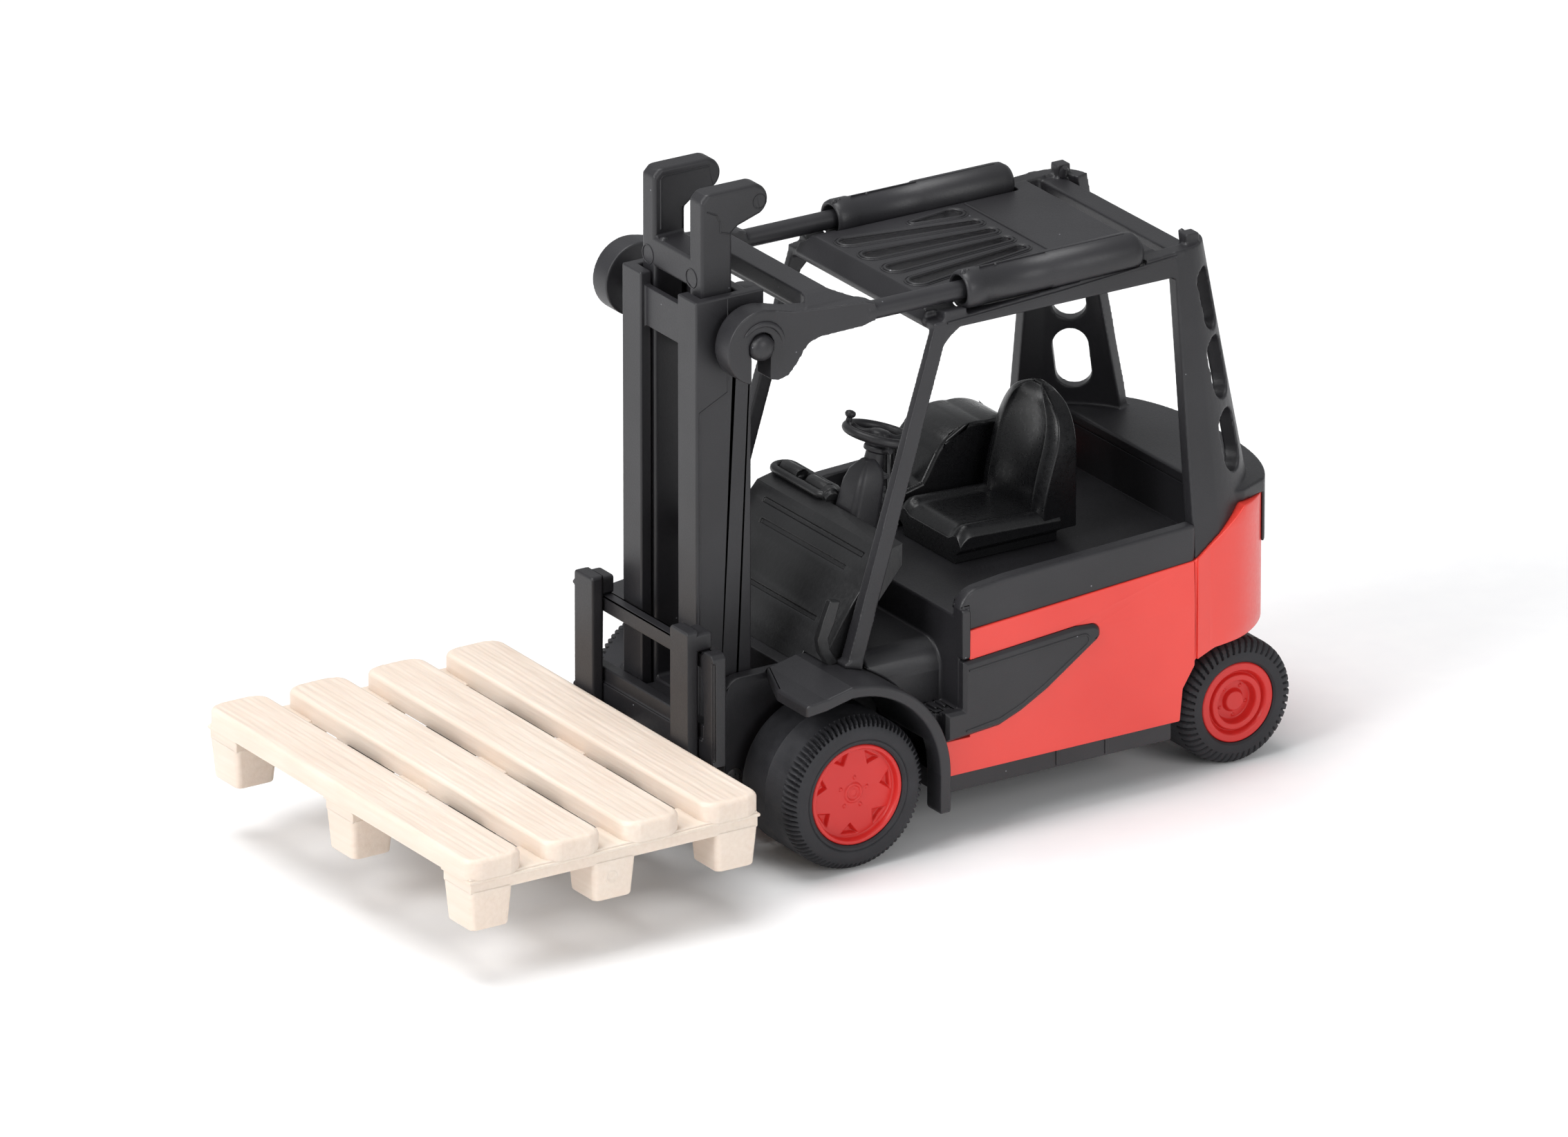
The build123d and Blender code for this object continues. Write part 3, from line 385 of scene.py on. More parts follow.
NODE_SLOT = {part["node"]: part["material_slot"] for part in frame["record"]["subparts"]}
ROUNDING = {
    "chassis_base": 0.12, "body_shell": 0.10, "side_panel_left": 0.10, "side_panel_right": 0.10,
    "front_fender_left": 0.30, "front_fender_right": 0.30, "cab_interior": 0.30, "side_console": 0.40,
    "outer_mast": 0.18, "inner_mast": 0.38, "fork_carriage": 0.16, "fork_left": 0.30, "fork_right": 0.30,
    "front_cowl": 0.11,
}
for node_name in frame["nodes"]:
    keep_cad(node_name, ROUNDING.get(node_name, 0.0), COWL_LOOK if node_name == "front_cowl" else None)


# ---------------------------------------------------------------- wheels

def ring_loops(centre, sign, rows, steps, shape):
    """Surface of revolution about Y with a relief: shape(row, angle) gives (y, radius)."""
    loops = []
    for row in rows:
        loop = []
        for i in range(steps):
            angle = tau * i / steps
            y, radius = shape(row, angle)
            loop.append((centre[0] + radius * cos(angle), sign * y, centre[1] + radius * sin(angle)))
        loops.append(loop)
    return loops


def front_tyre(side_name, sign):
    """Smooth tyre with a bulged sidewall and saw-tooth lugs on its outer shoulder only."""
    low, high = span(f"front_tyre_{side_name}")
    outer, inner = max(abs(low.y), abs(high.y)), min(abs(low.y), abs(high.y))
    radius = (high.z - low.z) / 2
    bead = (span(f"front_hub_{side_name}")[1].z - span(f"front_hub_{side_name}")[0].z) / 2
    teeth, steps_per_tooth = 84, 8
    rows = [
        (outer - 0.55, bead, 0), (outer - 0.30, bead + 0.05, 0), (outer - 0.12, bead + 0.22, 0),
        (outer - 0.10, bead + 0.42, 0), (outer - 0.16, bead + 0.50, 0), (outer - 0.05, bead + 0.62, 0),
        (outer, bead + 0.95, 0), (outer - 0.02, bead + 1.35, 0), (outer - 0.14, bead + 1.62, 0.0),
        (outer - 0.20, radius - 0.66, 0.15), (outer - 0.32, radius - 0.44, 1.0),
        (outer - 0.55, radius - 0.22, 1.0), (outer - 0.90, radius - 0.07, 1.0),
        (outer - 1.25, radius - 0.01, 0.9), (outer - 1.55, radius, 0.0),
        ((outer + inner) / 2 + 0.06, radius, 0), ((outer + inner) / 2, radius + 0.03, 0),
        ((outer + inner) / 2 - 0.06, radius, 0), (inner + 0.9, radius, 0), (inner + 0.45, radius - 0.12, 0),
        (inner + 0.12, radius - 0.45, 0), (inner, radius - 0.9, 0), (inner, bead, 0),
    ]

    def shape(row, angle):
        y, r, share = row
        phase = (angle * teeth / tau + (radius - r) * 0.8) % 1.0
        notch = 1 - smoothstep(0.0, 0.14, phase) + smoothstep(0.42, 0.94, phase)
        return y - 0.14 * share * notch, r - 0.42 * share * notch

    bm = bmesh.new()
    centre = ((low.x + high.x) / 2, (low.z + high.z) / 2)
    loops = ring_loops(centre, sign, rows, teeth * steps_per_tooth, shape)
    loft(bm, loops + loops[:1], caps=False)
    bmesh.ops.remove_doubles(bm, verts=bm.verts, dist=1e-5)
    piece(f"tyre_front_{side_name}", bm, "tyre_rubber", "front_wheelset",
          replaces=[f"front_tyre_{side_name}"], smooth=30)


def rear_tyre(side_name, sign):
    """Tyre with radial grooves that cut the outer shoulder into lugs."""
    low, high = span(f"rear_tyre_{side_name}")
    outer, inner = max(abs(low.y), abs(high.y)), min(abs(low.y), abs(high.y))
    radius = (high.z - low.z) / 2
    bead = (span(f"rear_hub_{side_name}")[1].z - span(f"rear_hub_{side_name}")[0].z) / 2
    lugs, steps_per_lug = 50, 8
    rows = [
        (outer - 0.50, bead, 0), (outer - 0.22, bead + 0.05, 0), (outer - 0.05, bead + 0.22, 0),
        (outer, bead + 0.55, 0), (outer - 0.02, bead + 0.85, 0), (outer - 0.04, radius - 1.12, 0),
        (outer - 0.07, radius - 1.02, 0.85), (outer - 0.16, radius - 0.70, 1.0),
        (outer - 0.36, radius - 0.38, 1.0), (outer - 0.62, radius - 0.15, 1.0),
        (outer - 0.95, radius - 0.03, 1.0), (outer - 1.35, radius, 1.0), (outer - 1.45, radius, 0.0),
        (inner + 1.00, radius, 0), (inner + 0.5, radius - 0.12, 0), (inner + 0.14, radius - 0.45, 0),
        (inner, radius - 0.9, 0), (inner, bead, 0),
    ]

    def shape(row, angle):
        y, r, share = row
        phase = (angle * lugs / tau + 0.45 * (radius - r)) % 1.0
        groove = 1 - smoothstep(0.0, 0.13, min(phase, 1 - phase) - 0.05)
        return y - 0.20 * share * groove, r - 0.12 * share * groove

    bm = bmesh.new()
    centre = ((low.x + high.x) / 2, (low.z + high.z) / 2)
    loops = ring_loops(centre, sign, rows, lugs * steps_per_lug, shape)
    loft(bm, loops + loops[:1], caps=False)
    bmesh.ops.remove_doubles(bm, verts=bm.verts, dist=1e-5)
    piece(f"tyre_rear_{side_name}", bm, "tyre_rubber", "rear_wheelset",
          replaces=[f"rear_tyre_{side_name}"], smooth=30)


def hub(kind, side_name, sign, body, steps, relief_of):
    """Moulded hub: a relief over polar rows outside, a plain barrel behind it."""
    low, high = span(f"{kind}_hub_{side_name}")
    outer, inner = max(abs(low.y), abs(high.y)), min(abs(low.y), abs(high.y))
    radius = (high.z - low.z) / 2
    centre = ((low.x + high.x) / 2, (low.z + high.z) / 2)
    radial_rows = 72
    face = [radius * (1 - i / radial_rows) for i in range(radial_rows)] + [0.02]

    def shape(r, angle):
        return outer + relief_of(r, angle, radius), r

    bm = bmesh.new()
    turns = [tau * i / steps for i in range(steps)]
    loops = [[(centre[0] + radius * cos(a), sign * inner, centre[1] + radius * sin(a)) for a in turns]]
    loops += ring_loops(centre, sign, face, steps, shape)
    loft(bm, loops)
    piece(f"hub_{kind}_{side_name}", bm, "red_plastic", body,
          replaces=[f"{kind}_hub_{side_name}"], smooth=180)


def bump_at(r, angle, at_radius, at_angle, size):
    """1 inside a small round stud, 0 outside."""
    distance = hypot(r * cos(angle) - at_radius * cos(at_angle), r * sin(angle) - at_radius * sin(at_angle))
    return 1 - smoothstep(size * 0.55, size, distance)


def front_hub_relief(r, angle, radius):
    """Dished disc with seven wedge pockets that point to the middle, a ring boss and small studs."""
    rim = smoothstep(radius - 0.50, radius - 0.36, r)
    lip = smoothstep(radius - 0.10, radius, r)
    height = -0.80 + 0.72 * rim - 0.10 * lip
    pockets, pocket_base, pocket_length, half_base = 7, radius - 0.80, 1.02, 0.92
    turn = (angle + 0.12) % (tau / pockets) - pi / pockets
    along, across = r * cos(turn), r * sin(turn)
    taper = half_base * (along - pocket_base + pocket_length) / pocket_length
    edge = max(along - pocket_base, (abs(across) - taper) * 0.74)
    height -= 0.46 * (1 - smoothstep(-0.20, 0.04, edge))
    height += 0.16 * (1 - smoothstep(-0.05, 0.07, abs(r - 0.78) - 0.12))
    height += 0.05 * (1 - smoothstep(0.28, 0.40, r))
    for stud in range(5):
        height += 0.14 * bump_at(r, angle, 1.40, tau * stud / 5 + 0.4, 0.20)
    return height


def rear_hub_relief(r, angle, radius):
    """Concentric rings around a flat boss, with five rivet heads in the bowl."""
    height = -0.10 * smoothstep(radius - 0.12, radius, r)
    height -= 0.55 * (1 - smoothstep(radius - 1.02, radius - 0.62, r))
    height += 0.42 * smoothstep(0.0, 0.22, 0.42 - abs(r - (radius - 1.42)))
    height -= 0.40 * (1 - smoothstep(radius - 1.95, radius - 1.70, r))
    height += 0.50 * (1 - smoothstep(0.82, 1.10, r))
    for stud in range(5):
        height += 0.12 * bump_at(r, angle, 1.42, tau * stud / 5 + 0.9, 0.17)
    return height


for side_name, sign in (("left", 1), ("right", -1)):
    front_tyre(side_name, sign)
    rear_tyre(side_name, sign)
    hub("front", side_name, sign, "front_wheelset", 336, front_hub_relief)
    hub("rear", side_name, sign, "rear_wheelset", 240, rear_hub_relief)


# ---------------------------------------------------------------- pallet

def deck_board(bm, x_mid, half_x, half_y, bottom, top, number):
    """Board with rounded corners and a wood-grain relief moulded into its top."""
    inset, columns, rows = 0.32, 44, 150
    corner = 1.25

    def outline(u, v, shrink):
        """Grid position u, v in -1..1 on a rounded rectangle that is smaller by `shrink`."""
        y = (half_y - shrink) * v
        end = max(0.0, abs(y) - (half_y - shrink - corner)) / corner
        x = (half_x - shrink - corner * (1 - (max(0.0, 1 - end * end)) ** 0.5)) * u
        return x_mid + x, y

    grid = []
    for i in range(rows + 1):
        v = -cos(pi * i / rows) if i in (0, rows) else 2 * i / rows - 1
        line = []
        for j in range(columns + 1):
            x, y = outline(2 * j / columns - 1, v, inset)
            wave = noise.noise((x * 2.6, y * 0.10, number * 5.3))
            wave += 0.5 * noise.noise((x * 6.5, y * 0.35, number * 9.1))
            line.append(bm.verts.new((x, y, top - 0.045 + 0.045 * wave)))
        grid.append(line)
    for i in range(rows):
        for j in range(columns):
            bm.faces.new((grid[i][j], grid[i][j + 1], grid[i + 1][j + 1], grid[i + 1][j]))
    border = ([grid[0][j] for j in range(columns)] + [grid[i][columns] for i in range(rows)]
              + [grid[rows][columns - j] for j in range(columns)] + [grid[rows - i][0] for i in range(rows)])
    ring = border
    for outwards, z in ((0.14, top - 0.10), (0.26, top - 0.24), (inset, top - 0.42), (inset, bottom)):
        wider_x = (half_x - inset + outwards) / (half_x - inset)
        wider_y = (half_y - inset + outwards) / (half_y - inset)
        following = [bm.verts.new((x_mid + (v.co.x - x_mid) * wider_x, v.co.y * wider_y, z)) for v in border]
        for i in range(len(ring)):
            j = (i + 1) % len(ring)
            bm.faces.new((ring[i], ring[j], following[j], following[i]))
        ring = following
    bm.faces.new(ring)


def pallet_pieces():
    low, high = span("pallet")
    board_half, boards = 2.875, 4
    board_bottom = high.z - 1.9
    stringer_bottom = board_bottom - 1.25
    pitch = (high.x - low.x - 2 * board_half) / (boards - 1)
    bm = bmesh.new()
    for number in range(boards):
        deck_board(bm, low.x + board_half + number * pitch, board_half, high.y, board_bottom, high.z, number)
    piece("pallet_boards", bm, "cream_plastic", "pallet", replaces=["pallet"], smooth=50)
    bm = bmesh.new()
    for y in (low.y + 2.4, 0, high.y - 2.4):
        box(bm, low.x + 0.3, high.x - 0.3, y - 2.2, y + 2.2, stringer_bottom, board_bottom + 0.2)
        box(bm, low.x + 0.12, high.x - 0.12, y - 2.36, y + 2.36, board_bottom - 0.30, board_bottom + 0.02)
        for x in (low.x + 2.45, (low.x + high.x) / 2, high.x - 2.45):
            loops = []
            for share in (0, 0.04, 0.5, 0.93, 1.0):
                z = low.z + (stringer_bottom + 0.2 - low.z) * share
                shrink = 0.28 * (1 - share) + (0.30 if share == 0 else 0.0)
                loops.append(rounded_rectangle(x, y, z, 2.2 - shrink, 2.3 - shrink, 0.55, 5))
            loft(bm, loops)
    piece("pallet_blocks", bm, "cream_plastic", "pallet", rounding=0.12)
    # gate marks on the middle block of each long side
    bm = bmesh.new()
    for sign in (-1, 1):
        middle = ((low.x + high.x) / 2 + 0.3, sign * (high.y - 0.30), low.z + 2.2)
        lathe(bm, [(-0.3, 0), (-0.3, 0.62), (0.12, 0.62), (0.16, 0.54), (0.08, 0.40), (0.06, 0)],
              middle, (0, sign, 0), 32)
    piece("pallet_gate_marks", bm, "cream_plastic", "pallet", smooth=60)


pallet_pieces()


# ---------------------------------------------------------------- seat, steering, cowl details

def seat_pieces():
    low, high = span("seat")
    half = high.y
    # backrest: loops at rising heights, with a dished face between two piped edges
    loops = []
    heights = 34
    for level in range(heights + 1):
        share = level / heights
        z = low.z + 1.2 + (high.z - low.z - 1.2) * (1 - (1 - share) ** 1.4)
        crown = max(0.0, (z - (high.z - 5.2)) / 5.2)
        width = (half - 0.1) * max(0.03, (1 - crown ** 2.3)) ** 0.55
        tip = max(0.0, (z - (high.z - 1.5)) / 1.5)
        front_x = -26.4 - 2.2 * smoothstep(low.z + 2, high.z, z) - 0.75 * tip ** 2.2
        rear_x = low.x + 0.05 + 0.65 * tip ** 2.2
        rear_x = min(rear_x, front_x - 0.35)
        loop = []
        columns = 28
        for j in range(columns + 1):
            u = 2 * j / columns - 1
            pipe = 0.22 * max(0.0, 1 - abs(abs(u) - 0.74) / 0.07) ** 0.6
            dish = 0.55 * (1 - (min(abs(u), 0.66) / 0.66) ** 2)
            edge = 1.1 * max(0.0, abs(u) - 0.80) ** 2 / 0.04 * 0.35
            loop.append((front_x - (dish - pipe + edge) * (1 - crown ** 4), width * u, z))
        for j in range(7):
            share_back = j / 6
            loop.append((rear_x + 0.25 * abs(2 * share_back - 1) ** 6, width * (0.97 - 1.94 * share_back), z))
        loops.append(loop)
    bm = bmesh.new()
    loft(bm, loops)
    # cushion: rounded flanks, shallow pan, rounded front edge
    loops = []
    slices = 26
    front_x, rear_x = high.x, low.x + 2.0
    for i in range(slices + 1):
        share = i / slices
        x = front_x + (rear_x - front_x) * share
        nose = max(0.0, 1 - share / 0.12)
        top = low.z + 3.55 - 0.45 * share - 0.9 * nose ** 2.2
        loop = []
        columns = 32
        for j in range(columns + 1):
            u = 2 * j / columns - 1
            pan = 0.45 * (1 - smoothstep(0.60, 0.80, abs(u)))
            flank = 0.95 * max(0.0, (abs(u) - 0.78) / 0.22) ** 2.2
            loop.append((x, half * u, top - pan - flank))
        loop += [(x, half, low.z + 1.4), (x, half - 0.7, low.z + 0.9), (x, half - 0.8, low.z),
                 (x, -half + 0.8, low.z), (x, -half + 0.7, low.z + 0.9), (x, -half, low.z + 1.4)]
        loops.append(loop)
    loft(bm, loops)
    piece("driver_seat", bm, "black_gloss", "chassis", rounding=0.12, replaces=["seat"], smooth=45)


WHEEL_TILT = radians(16)
WHEEL_MIDDLE = Vector((-12.9, 0, 32.5))
WHEEL_R = 3.0
COLUMN_FOOT_X = -8.2
COLUMN_LEAN = 3.3                   # how far the column's head stands behind its foot
COLUMN_TOP = 30.6


def steering_pieces():
    """Wheel with three spokes and a spinner knob, leaning column, two switch stalks."""
    middle = WHEEL_MIDDLE
    axis = Vector((-sin(WHEEL_TILT), 0, cos(WHEEL_TILT)))
    forward = Vector((cos(WHEEL_TILT), 0, sin(WHEEL_TILT)))
    side = Vector((0, 1, 0))

    def on_wheel(radius, angle, height=0.0):
        return middle + radius * (forward * cos(angle) + side * sin(angle)) + axis * height

    bm = bmesh.new()
    tube(bm, [on_wheel(WHEEL_R, tau * i / 72) for i in range(72)], 0.42, closed=True, sides=16)
    for angle in (pi, pi / 3, -pi / 3):
        points = [on_wheel(0.6 + 2.4 * i / 8, angle, -0.25 * sin(pi * i / 8)) for i in range(9)]
        tube(bm, points, [0.36, 0.34, 0.31, 0.29, 0.28, 0.28, 0.30, 0.33, 0.36], sides=10)
    lathe(bm, [(-0.5, 0), (-0.5, 0.95), (0.1, 0.95), (0.32, 0.8), (0.42, 0.45), (0.45, 0)], middle, axis, 40)
    knob = on_wheel(2.97, radians(-48), 0.2)
    lathe(bm, [(0, 0), (0, 0.3), (0.45, 0.26), (0.6, 0.42), (0.8, 0.5), (1.0, 0.42), (1.1, 0.2), (1.12, 0)],
          knob, axis, 24)
    piece("steering_wheel_moulding", bm, "black_plastic", "chassis", replaces=["steering_wheel"], smooth=50)

    # column: leaning housing with a rounded head, ribbed on its rear, and the shaft above it
    low = span("steering_column")[0]
    bm = bmesh.new()
    loops = []
    for i in range(15):
        share = i / 14
        z = low.z + (COLUMN_TOP - low.z) * share
        head = max(0.0, (share - 0.78) / 0.22)
        x = COLUMN_FOOT_X - COLUMN_LEAN * share
        half_x = (1.9 - 0.5 * share) * max(0.12, 1 - head ** 3) ** 0.5
        half_y = (2.2 - 0.75 * share) * max(0.12, 1 - head ** 3) ** 0.5
        loops.append(rounded_rectangle(x, 0.3, z, half_x, half_y, min(half_x, half_y) * 0.45, 6))
    loft(bm, loops)
    for i in range(5):
        z = 24.4 + 1.1 * i
        x = COLUMN_FOOT_X - COLUMN_LEAN * (z - low.z) / (COLUMN_TOP - low.z)
        box(bm, x - 1.85, x - 1.0, -0.9, 1.5, z, z + 0.4)
    lathe(bm, [(-4.0, 0.95), (-1.6, 0.85), (-1.5, 1.15), (-1.1, 1.15), (-1.0, 0.7), (-0.45, 0.7), (-0.45, 0)],
          middle, axis, 32)
    # switch stalks below the wheel
    for y in (-1, 1):
        stalk = [middle - axis * 1.3, middle - axis * 1.2 + side * y * 1.3,
                 middle - axis * 0.9 + side * y * 2.1]
        tube(bm, stalk, [0.3, 0.22, 0.34], sides=10)
    piece("steering_column_moulding", bm, "black_plastic", "chassis", rounding=0.08,
          replaces=["steering_column"], smooth=50)


def cowl_pieces():
    """Dish on top of the cowl with its raised rim, and the gaiter at its inner end."""
    bm = bmesh.new()
    path = []
    for centre_y, start in ((-2.9, 0), (-9.6, 180)):
        path += [(-9.2 + x, y, 27.0) for y, x in arc((centre_y, 0), 0.95, start - 90, start + 90, 8)]
    tube(bm, path, 0.38, closed=True, sides=12)
    box(bm, -9.9, -8.5, -9.4, -3.1, 26.2, 26.75)
    for y in (-7.2, -5.4):
        lathe(bm, [(0, 0.0), (0, 0.55), (0.5, 0.5), (0.62, 0.3), (0.64, 0)], (-9.2, y, 26.6), (0, 0, 1), 20)
    lathe(bm, [(-0.7, 0.0), (-0.7, 0.75), (0.0, 0.8), (0.1, 0.62), (0.5, 0.6), (0.6, 0)],
          (-9.0, -1.9, 26.9), (0.2, 0.9, -0.25), 24)
    piece("cowl_dish", bm, "black_plastic", "chassis", rounding=0.06, look=COWL_LOOK, smooth=50)


def cowl_bracket():
    """Bowed flat bar that ties the edge of the cowl to the mudguard, on both sides."""
    rear = [(-1.75, 22.9), (-1.15, 21.0), (-0.5, 19.7), (-0.65, 18.7), (-1.5, 17.2)]
    front = [(-0.5, 17.0), (0.35, 18.4), (0.6, 19.7), (0.0, 21.4), (-0.7, 23.1)]
    bm = bmesh.new()
    for y0, y1 in ((10.3, 11.1), (-11.1, -10.3)):
        side_prism(bm, rear + front, y0, y1)
    piece("cowl_brackets", bm, "black_plastic", "chassis", rounding=0.16, look=COWL_LOOK, smooth=50)


def panel_beads():
    """Fine bead that follows the edge of each dark side panel."""
    outline = [(-11.9, 15.85), (-22.8, 16.65), (-23.6, 16.7)] + arc((-23.8, 16.15), 0.55, 80, 235, 8)
    outline += [(-19.7, 12.85), (-17.3, 11.55), (-15.1, 10.7), (-11.6, 10.25)]
    bm = bmesh.new()
    for sign in (-1, 1):
        tube(bm, [(x, sign * 15.93, z) for x, z in outline], 0.11, sides=8)
    piece("side_panel_beads", bm, "black_plastic", "chassis", smooth=60)


def base_marks():
    """Two short uprights on each edge of the base plate, under the red wall."""
    bm = bmesh.new()
    for x in (-21.7, -26.8):
        for y in (-15.1, 14.95):
            box(bm, x - 0.18, x + 0.18, y, y + 0.15, 4.6, 6.1)
    piece("base_edge_marks", bm, "black_plastic", "chassis", rounding=0.04)


seat_pieces()
steering_pieces()
cowl_pieces()
cowl_bracket()
panel_beads()
base_marks()


# ---------------------------------------------------------------- roof and tilt cylinders

def slot_loop(x_front, y_front, x_rear, y_rear, front_r, rear_r):
    """Closed outline of a slot whose ends have different radii, on top of the roof."""
    along = degrees(atan2(y_front - y_rear, x_front - x_rear))
    length = ((x_front - x_rear) ** 2 + (y_front - y_rear) ** 2) ** 0.5
    half_turn = 90 + degrees(asin((front_r - rear_r) / length))
    points = arc((x_front, y_front), front_r, along - half_turn, along + half_turn, 12)
    points += arc((x_rear, y_rear), rear_r, along + half_turn, along + 360 - half_turn, 12)
    return [(x, y, ROOF_TOP) for x, y in points]


ROOF_TOP = 48.5
SLOT_FRONT, SLOT_REAR = -12.4, -25.6
WIDE_R, NARROW_R, TIP_R = 0.9, 0.6, 0.25


def roof_pieces():
    fan = [(SLOT_FRONT, 3.75 * place, 2.45 * place, WIDE_R, NARROW_R) for place in (-1.5, -0.5, 0.5, 1.5)]
    fan += [(-20.4, sign * 6.6, sign * 6.6, TIP_R, WIDE_R) for sign in (-1, 1)]
    bm = bmesh.new()
    for slot_front, y_front, y_rear, front_r, rear_r in fan:
        for wider, radius in ((0.10, 0.15), (0.42, 0.08)):
            rim = slot_loop(slot_front - front_r, y_front, SLOT_REAR + rear_r, y_rear,
                            front_r + wider, rear_r + wider)
            tube(bm, rim, radius, closed=True, sides=8)
    # low step that borders the field of slots at its rear
    tube(bm, [(-26.9, y, ROOF_TOP) for y in (-8.0, -4.0, 0.0, 4.0, 8.0)], 0.14, sides=8)
    piece("roof_slot_rims", bm, "black_plastic", "chassis", smooth=60)
    # seam along each roof rail, tapered lug at the top of each rear pillar
    bm = bmesh.new()
    for sign in (-1, 1):
        tube(bm, [(-12.2, sign * 11.85, 46.75), (-24, sign * 11.85, 47.3), (-36.0, sign * 11.85, 48.1)],
             0.10, sides=8)
        tube(bm, [(-38.2, sign * 9.7, 48.5), (-38.2, sign * 9.4, 49.0), (-38.1, sign * 9.1, 49.3)],
             [0.5, 0.42, 0.2], sides=10)
    piece("roof_seams", bm, "black_plastic", "chassis", smooth=60)


def cylinder_pieces():
    for side_name, sign in (("left", 1), ("right", -1)):
        low, high = span(f"tilt_cylinder_{side_name}")
        length = high.x - low.x
        centre = (low.x, sign * (abs(low.y) + abs(high.y)) / 2, (low.z + high.z) / 2)
        r = (high.z - low.z) / 2
        profile = [(0, 0), (0.02, r - 0.9), (0.25, r - 0.35), (0.75, r - 0.05), (1.3, r)]
        profile += [(length * 0.52, r), (length * 0.52 + 0.08, r - 0.09), (length - 2.0, r - 0.09)]
        profile += [(length - 1.9, r), (length - 0.5, r), (length - 0.12, r - 0.1), (length, r - 0.28),
                    (length, 1.42), (length - 0.15, 1.26), (length - 12.5, 1.26), (length - 12.6, 0)]
        bm = bmesh.new()
        lathe(bm, profile, centre, (1, 0, 0), 56)
        # seam of the mould along the top, with a few beads of flash
        top = centre[2] + r
        box(bm, low.x + 1.5, high.x - 2.2, centre[1] - 0.07, centre[1] + 0.07, top - 0.2, top + 0.03)
        for share, size in ((0.985, 0.30), (0.955, 0.22), (0.80, 0.16), (0.42, 0.14)):
            spot = (low.x + length * share, centre[1] + 0.25 * sin(share * 40), top - 0.05)
            lathe(bm, [(-size * 0.6, 0), (-size * 0.3, size), (size * 0.3, size * 0.8), (size, 0)],
                  spot, (0.3, 0.2, 1), 9)
        piece(f"roof_cylinder_{side_name}", bm, "black_plastic", "chassis",
              replaces=[f"tilt_cylinder_{side_name}"], smooth=50)


roof_pieces()
cylinder_pieces()


# ---------------------------------------------------------------- mast details

HOOK_OUT_Y = 4.86                   # outer side of the hooks


def mast_pieces():
    """Marks of the mould on the channels and hooks, and the lug on the left channel."""
    # stepped mould line down the outer side of each channel
    bm = bmesh.new()
    for sign in (-1, 1):
        y = sign * 6.0
        path = [(9.5, y, 9.0), (9.5, y, 41.0), (6.6, y, 42.4), (6.6, y, 51.0)]
        for a, b in zip(path, path[1:]):
            tube(bm, [a, b], 0.07, sides=6)
    piece("mast_mould_lines", bm, "black_plastic", "mast", smooth=60)
    # ejector marks on the cross bar and at the tips of the hooks
    bm = bmesh.new()
    front = span("inner_mast")[1].x
    for sign in (-1, 1):
        ring = [(front, sign * 3.5 - 0.3 + y, 52.4 + z) for y, z in arc((0, 0), 0.85, 0, 348, 29)]
        tube(bm, ring, 0.07, closed=True, sides=6)
        ring = [(2.6 + x, sign * HOOK_OUT_Y, 58.8 + z) for x, z in arc((0, 0), 0.66, 0, 348, 29)]
        tube(bm, ring, 0.05, closed=True, sides=6)
        # border of the recessed inner face of each prong
        border = [(7.9, 54.9), (7.9, 59.5), (7.6, 59.75), (2.9, 59.75)]
        for a, b in zip(border, border[1:]):
            tube(bm, [(a[0], sign * 2.76, a[1]), (b[0], sign * 2.76, b[1])], 0.09, sides=6)
    # stepped line on the outer side of the left hook
    step = [(7.95, 58.85), (7.0, 58.4), (6.66, 57.6), (6.66, 56.75), (5.6, 56.4)]
    for a, b in zip(step, step[1:]):
        tube(bm, [(a[0], HOOK_OUT_Y, a[1]), (b[0], HOOK_OUT_Y, b[1])], 0.07, sides=6)
    lathe(bm, [(-0.1, 0.38), (0.14, 0.32), (0.24, 0)], (8.1, -1.9, 54.3), (0, 0, 1), 16)
    piece("mast_hook_marks", bm, "black_plastic", "lift", smooth=60)
    # round lug behind the head of the left channel
    bm = bmesh.new()
    lathe(bm, [(-0.8, 0), (-0.8, 1.15), (0.1, 1.15), (0.25, 1.0), (0.25, 0)], (3.4, 3.6, 50.6), (0, 0, 1), 32)
    piece("mast_head_lug", bm, "black_plastic", "mast", smooth=50)


EYE_X, EYE_Z = 5.0, 47.1            # pin of the tilt yoke
EYE_Y = {1: 7.8, -1: -12.0}         # middle of each eye, left and right
EYE_HALF = 1.15                     # half the width of an eye
ROD_Y, ROD_Z = 10.3, 48.9
ARM_FRONT, ARM_REAR = 3.6, -5.3


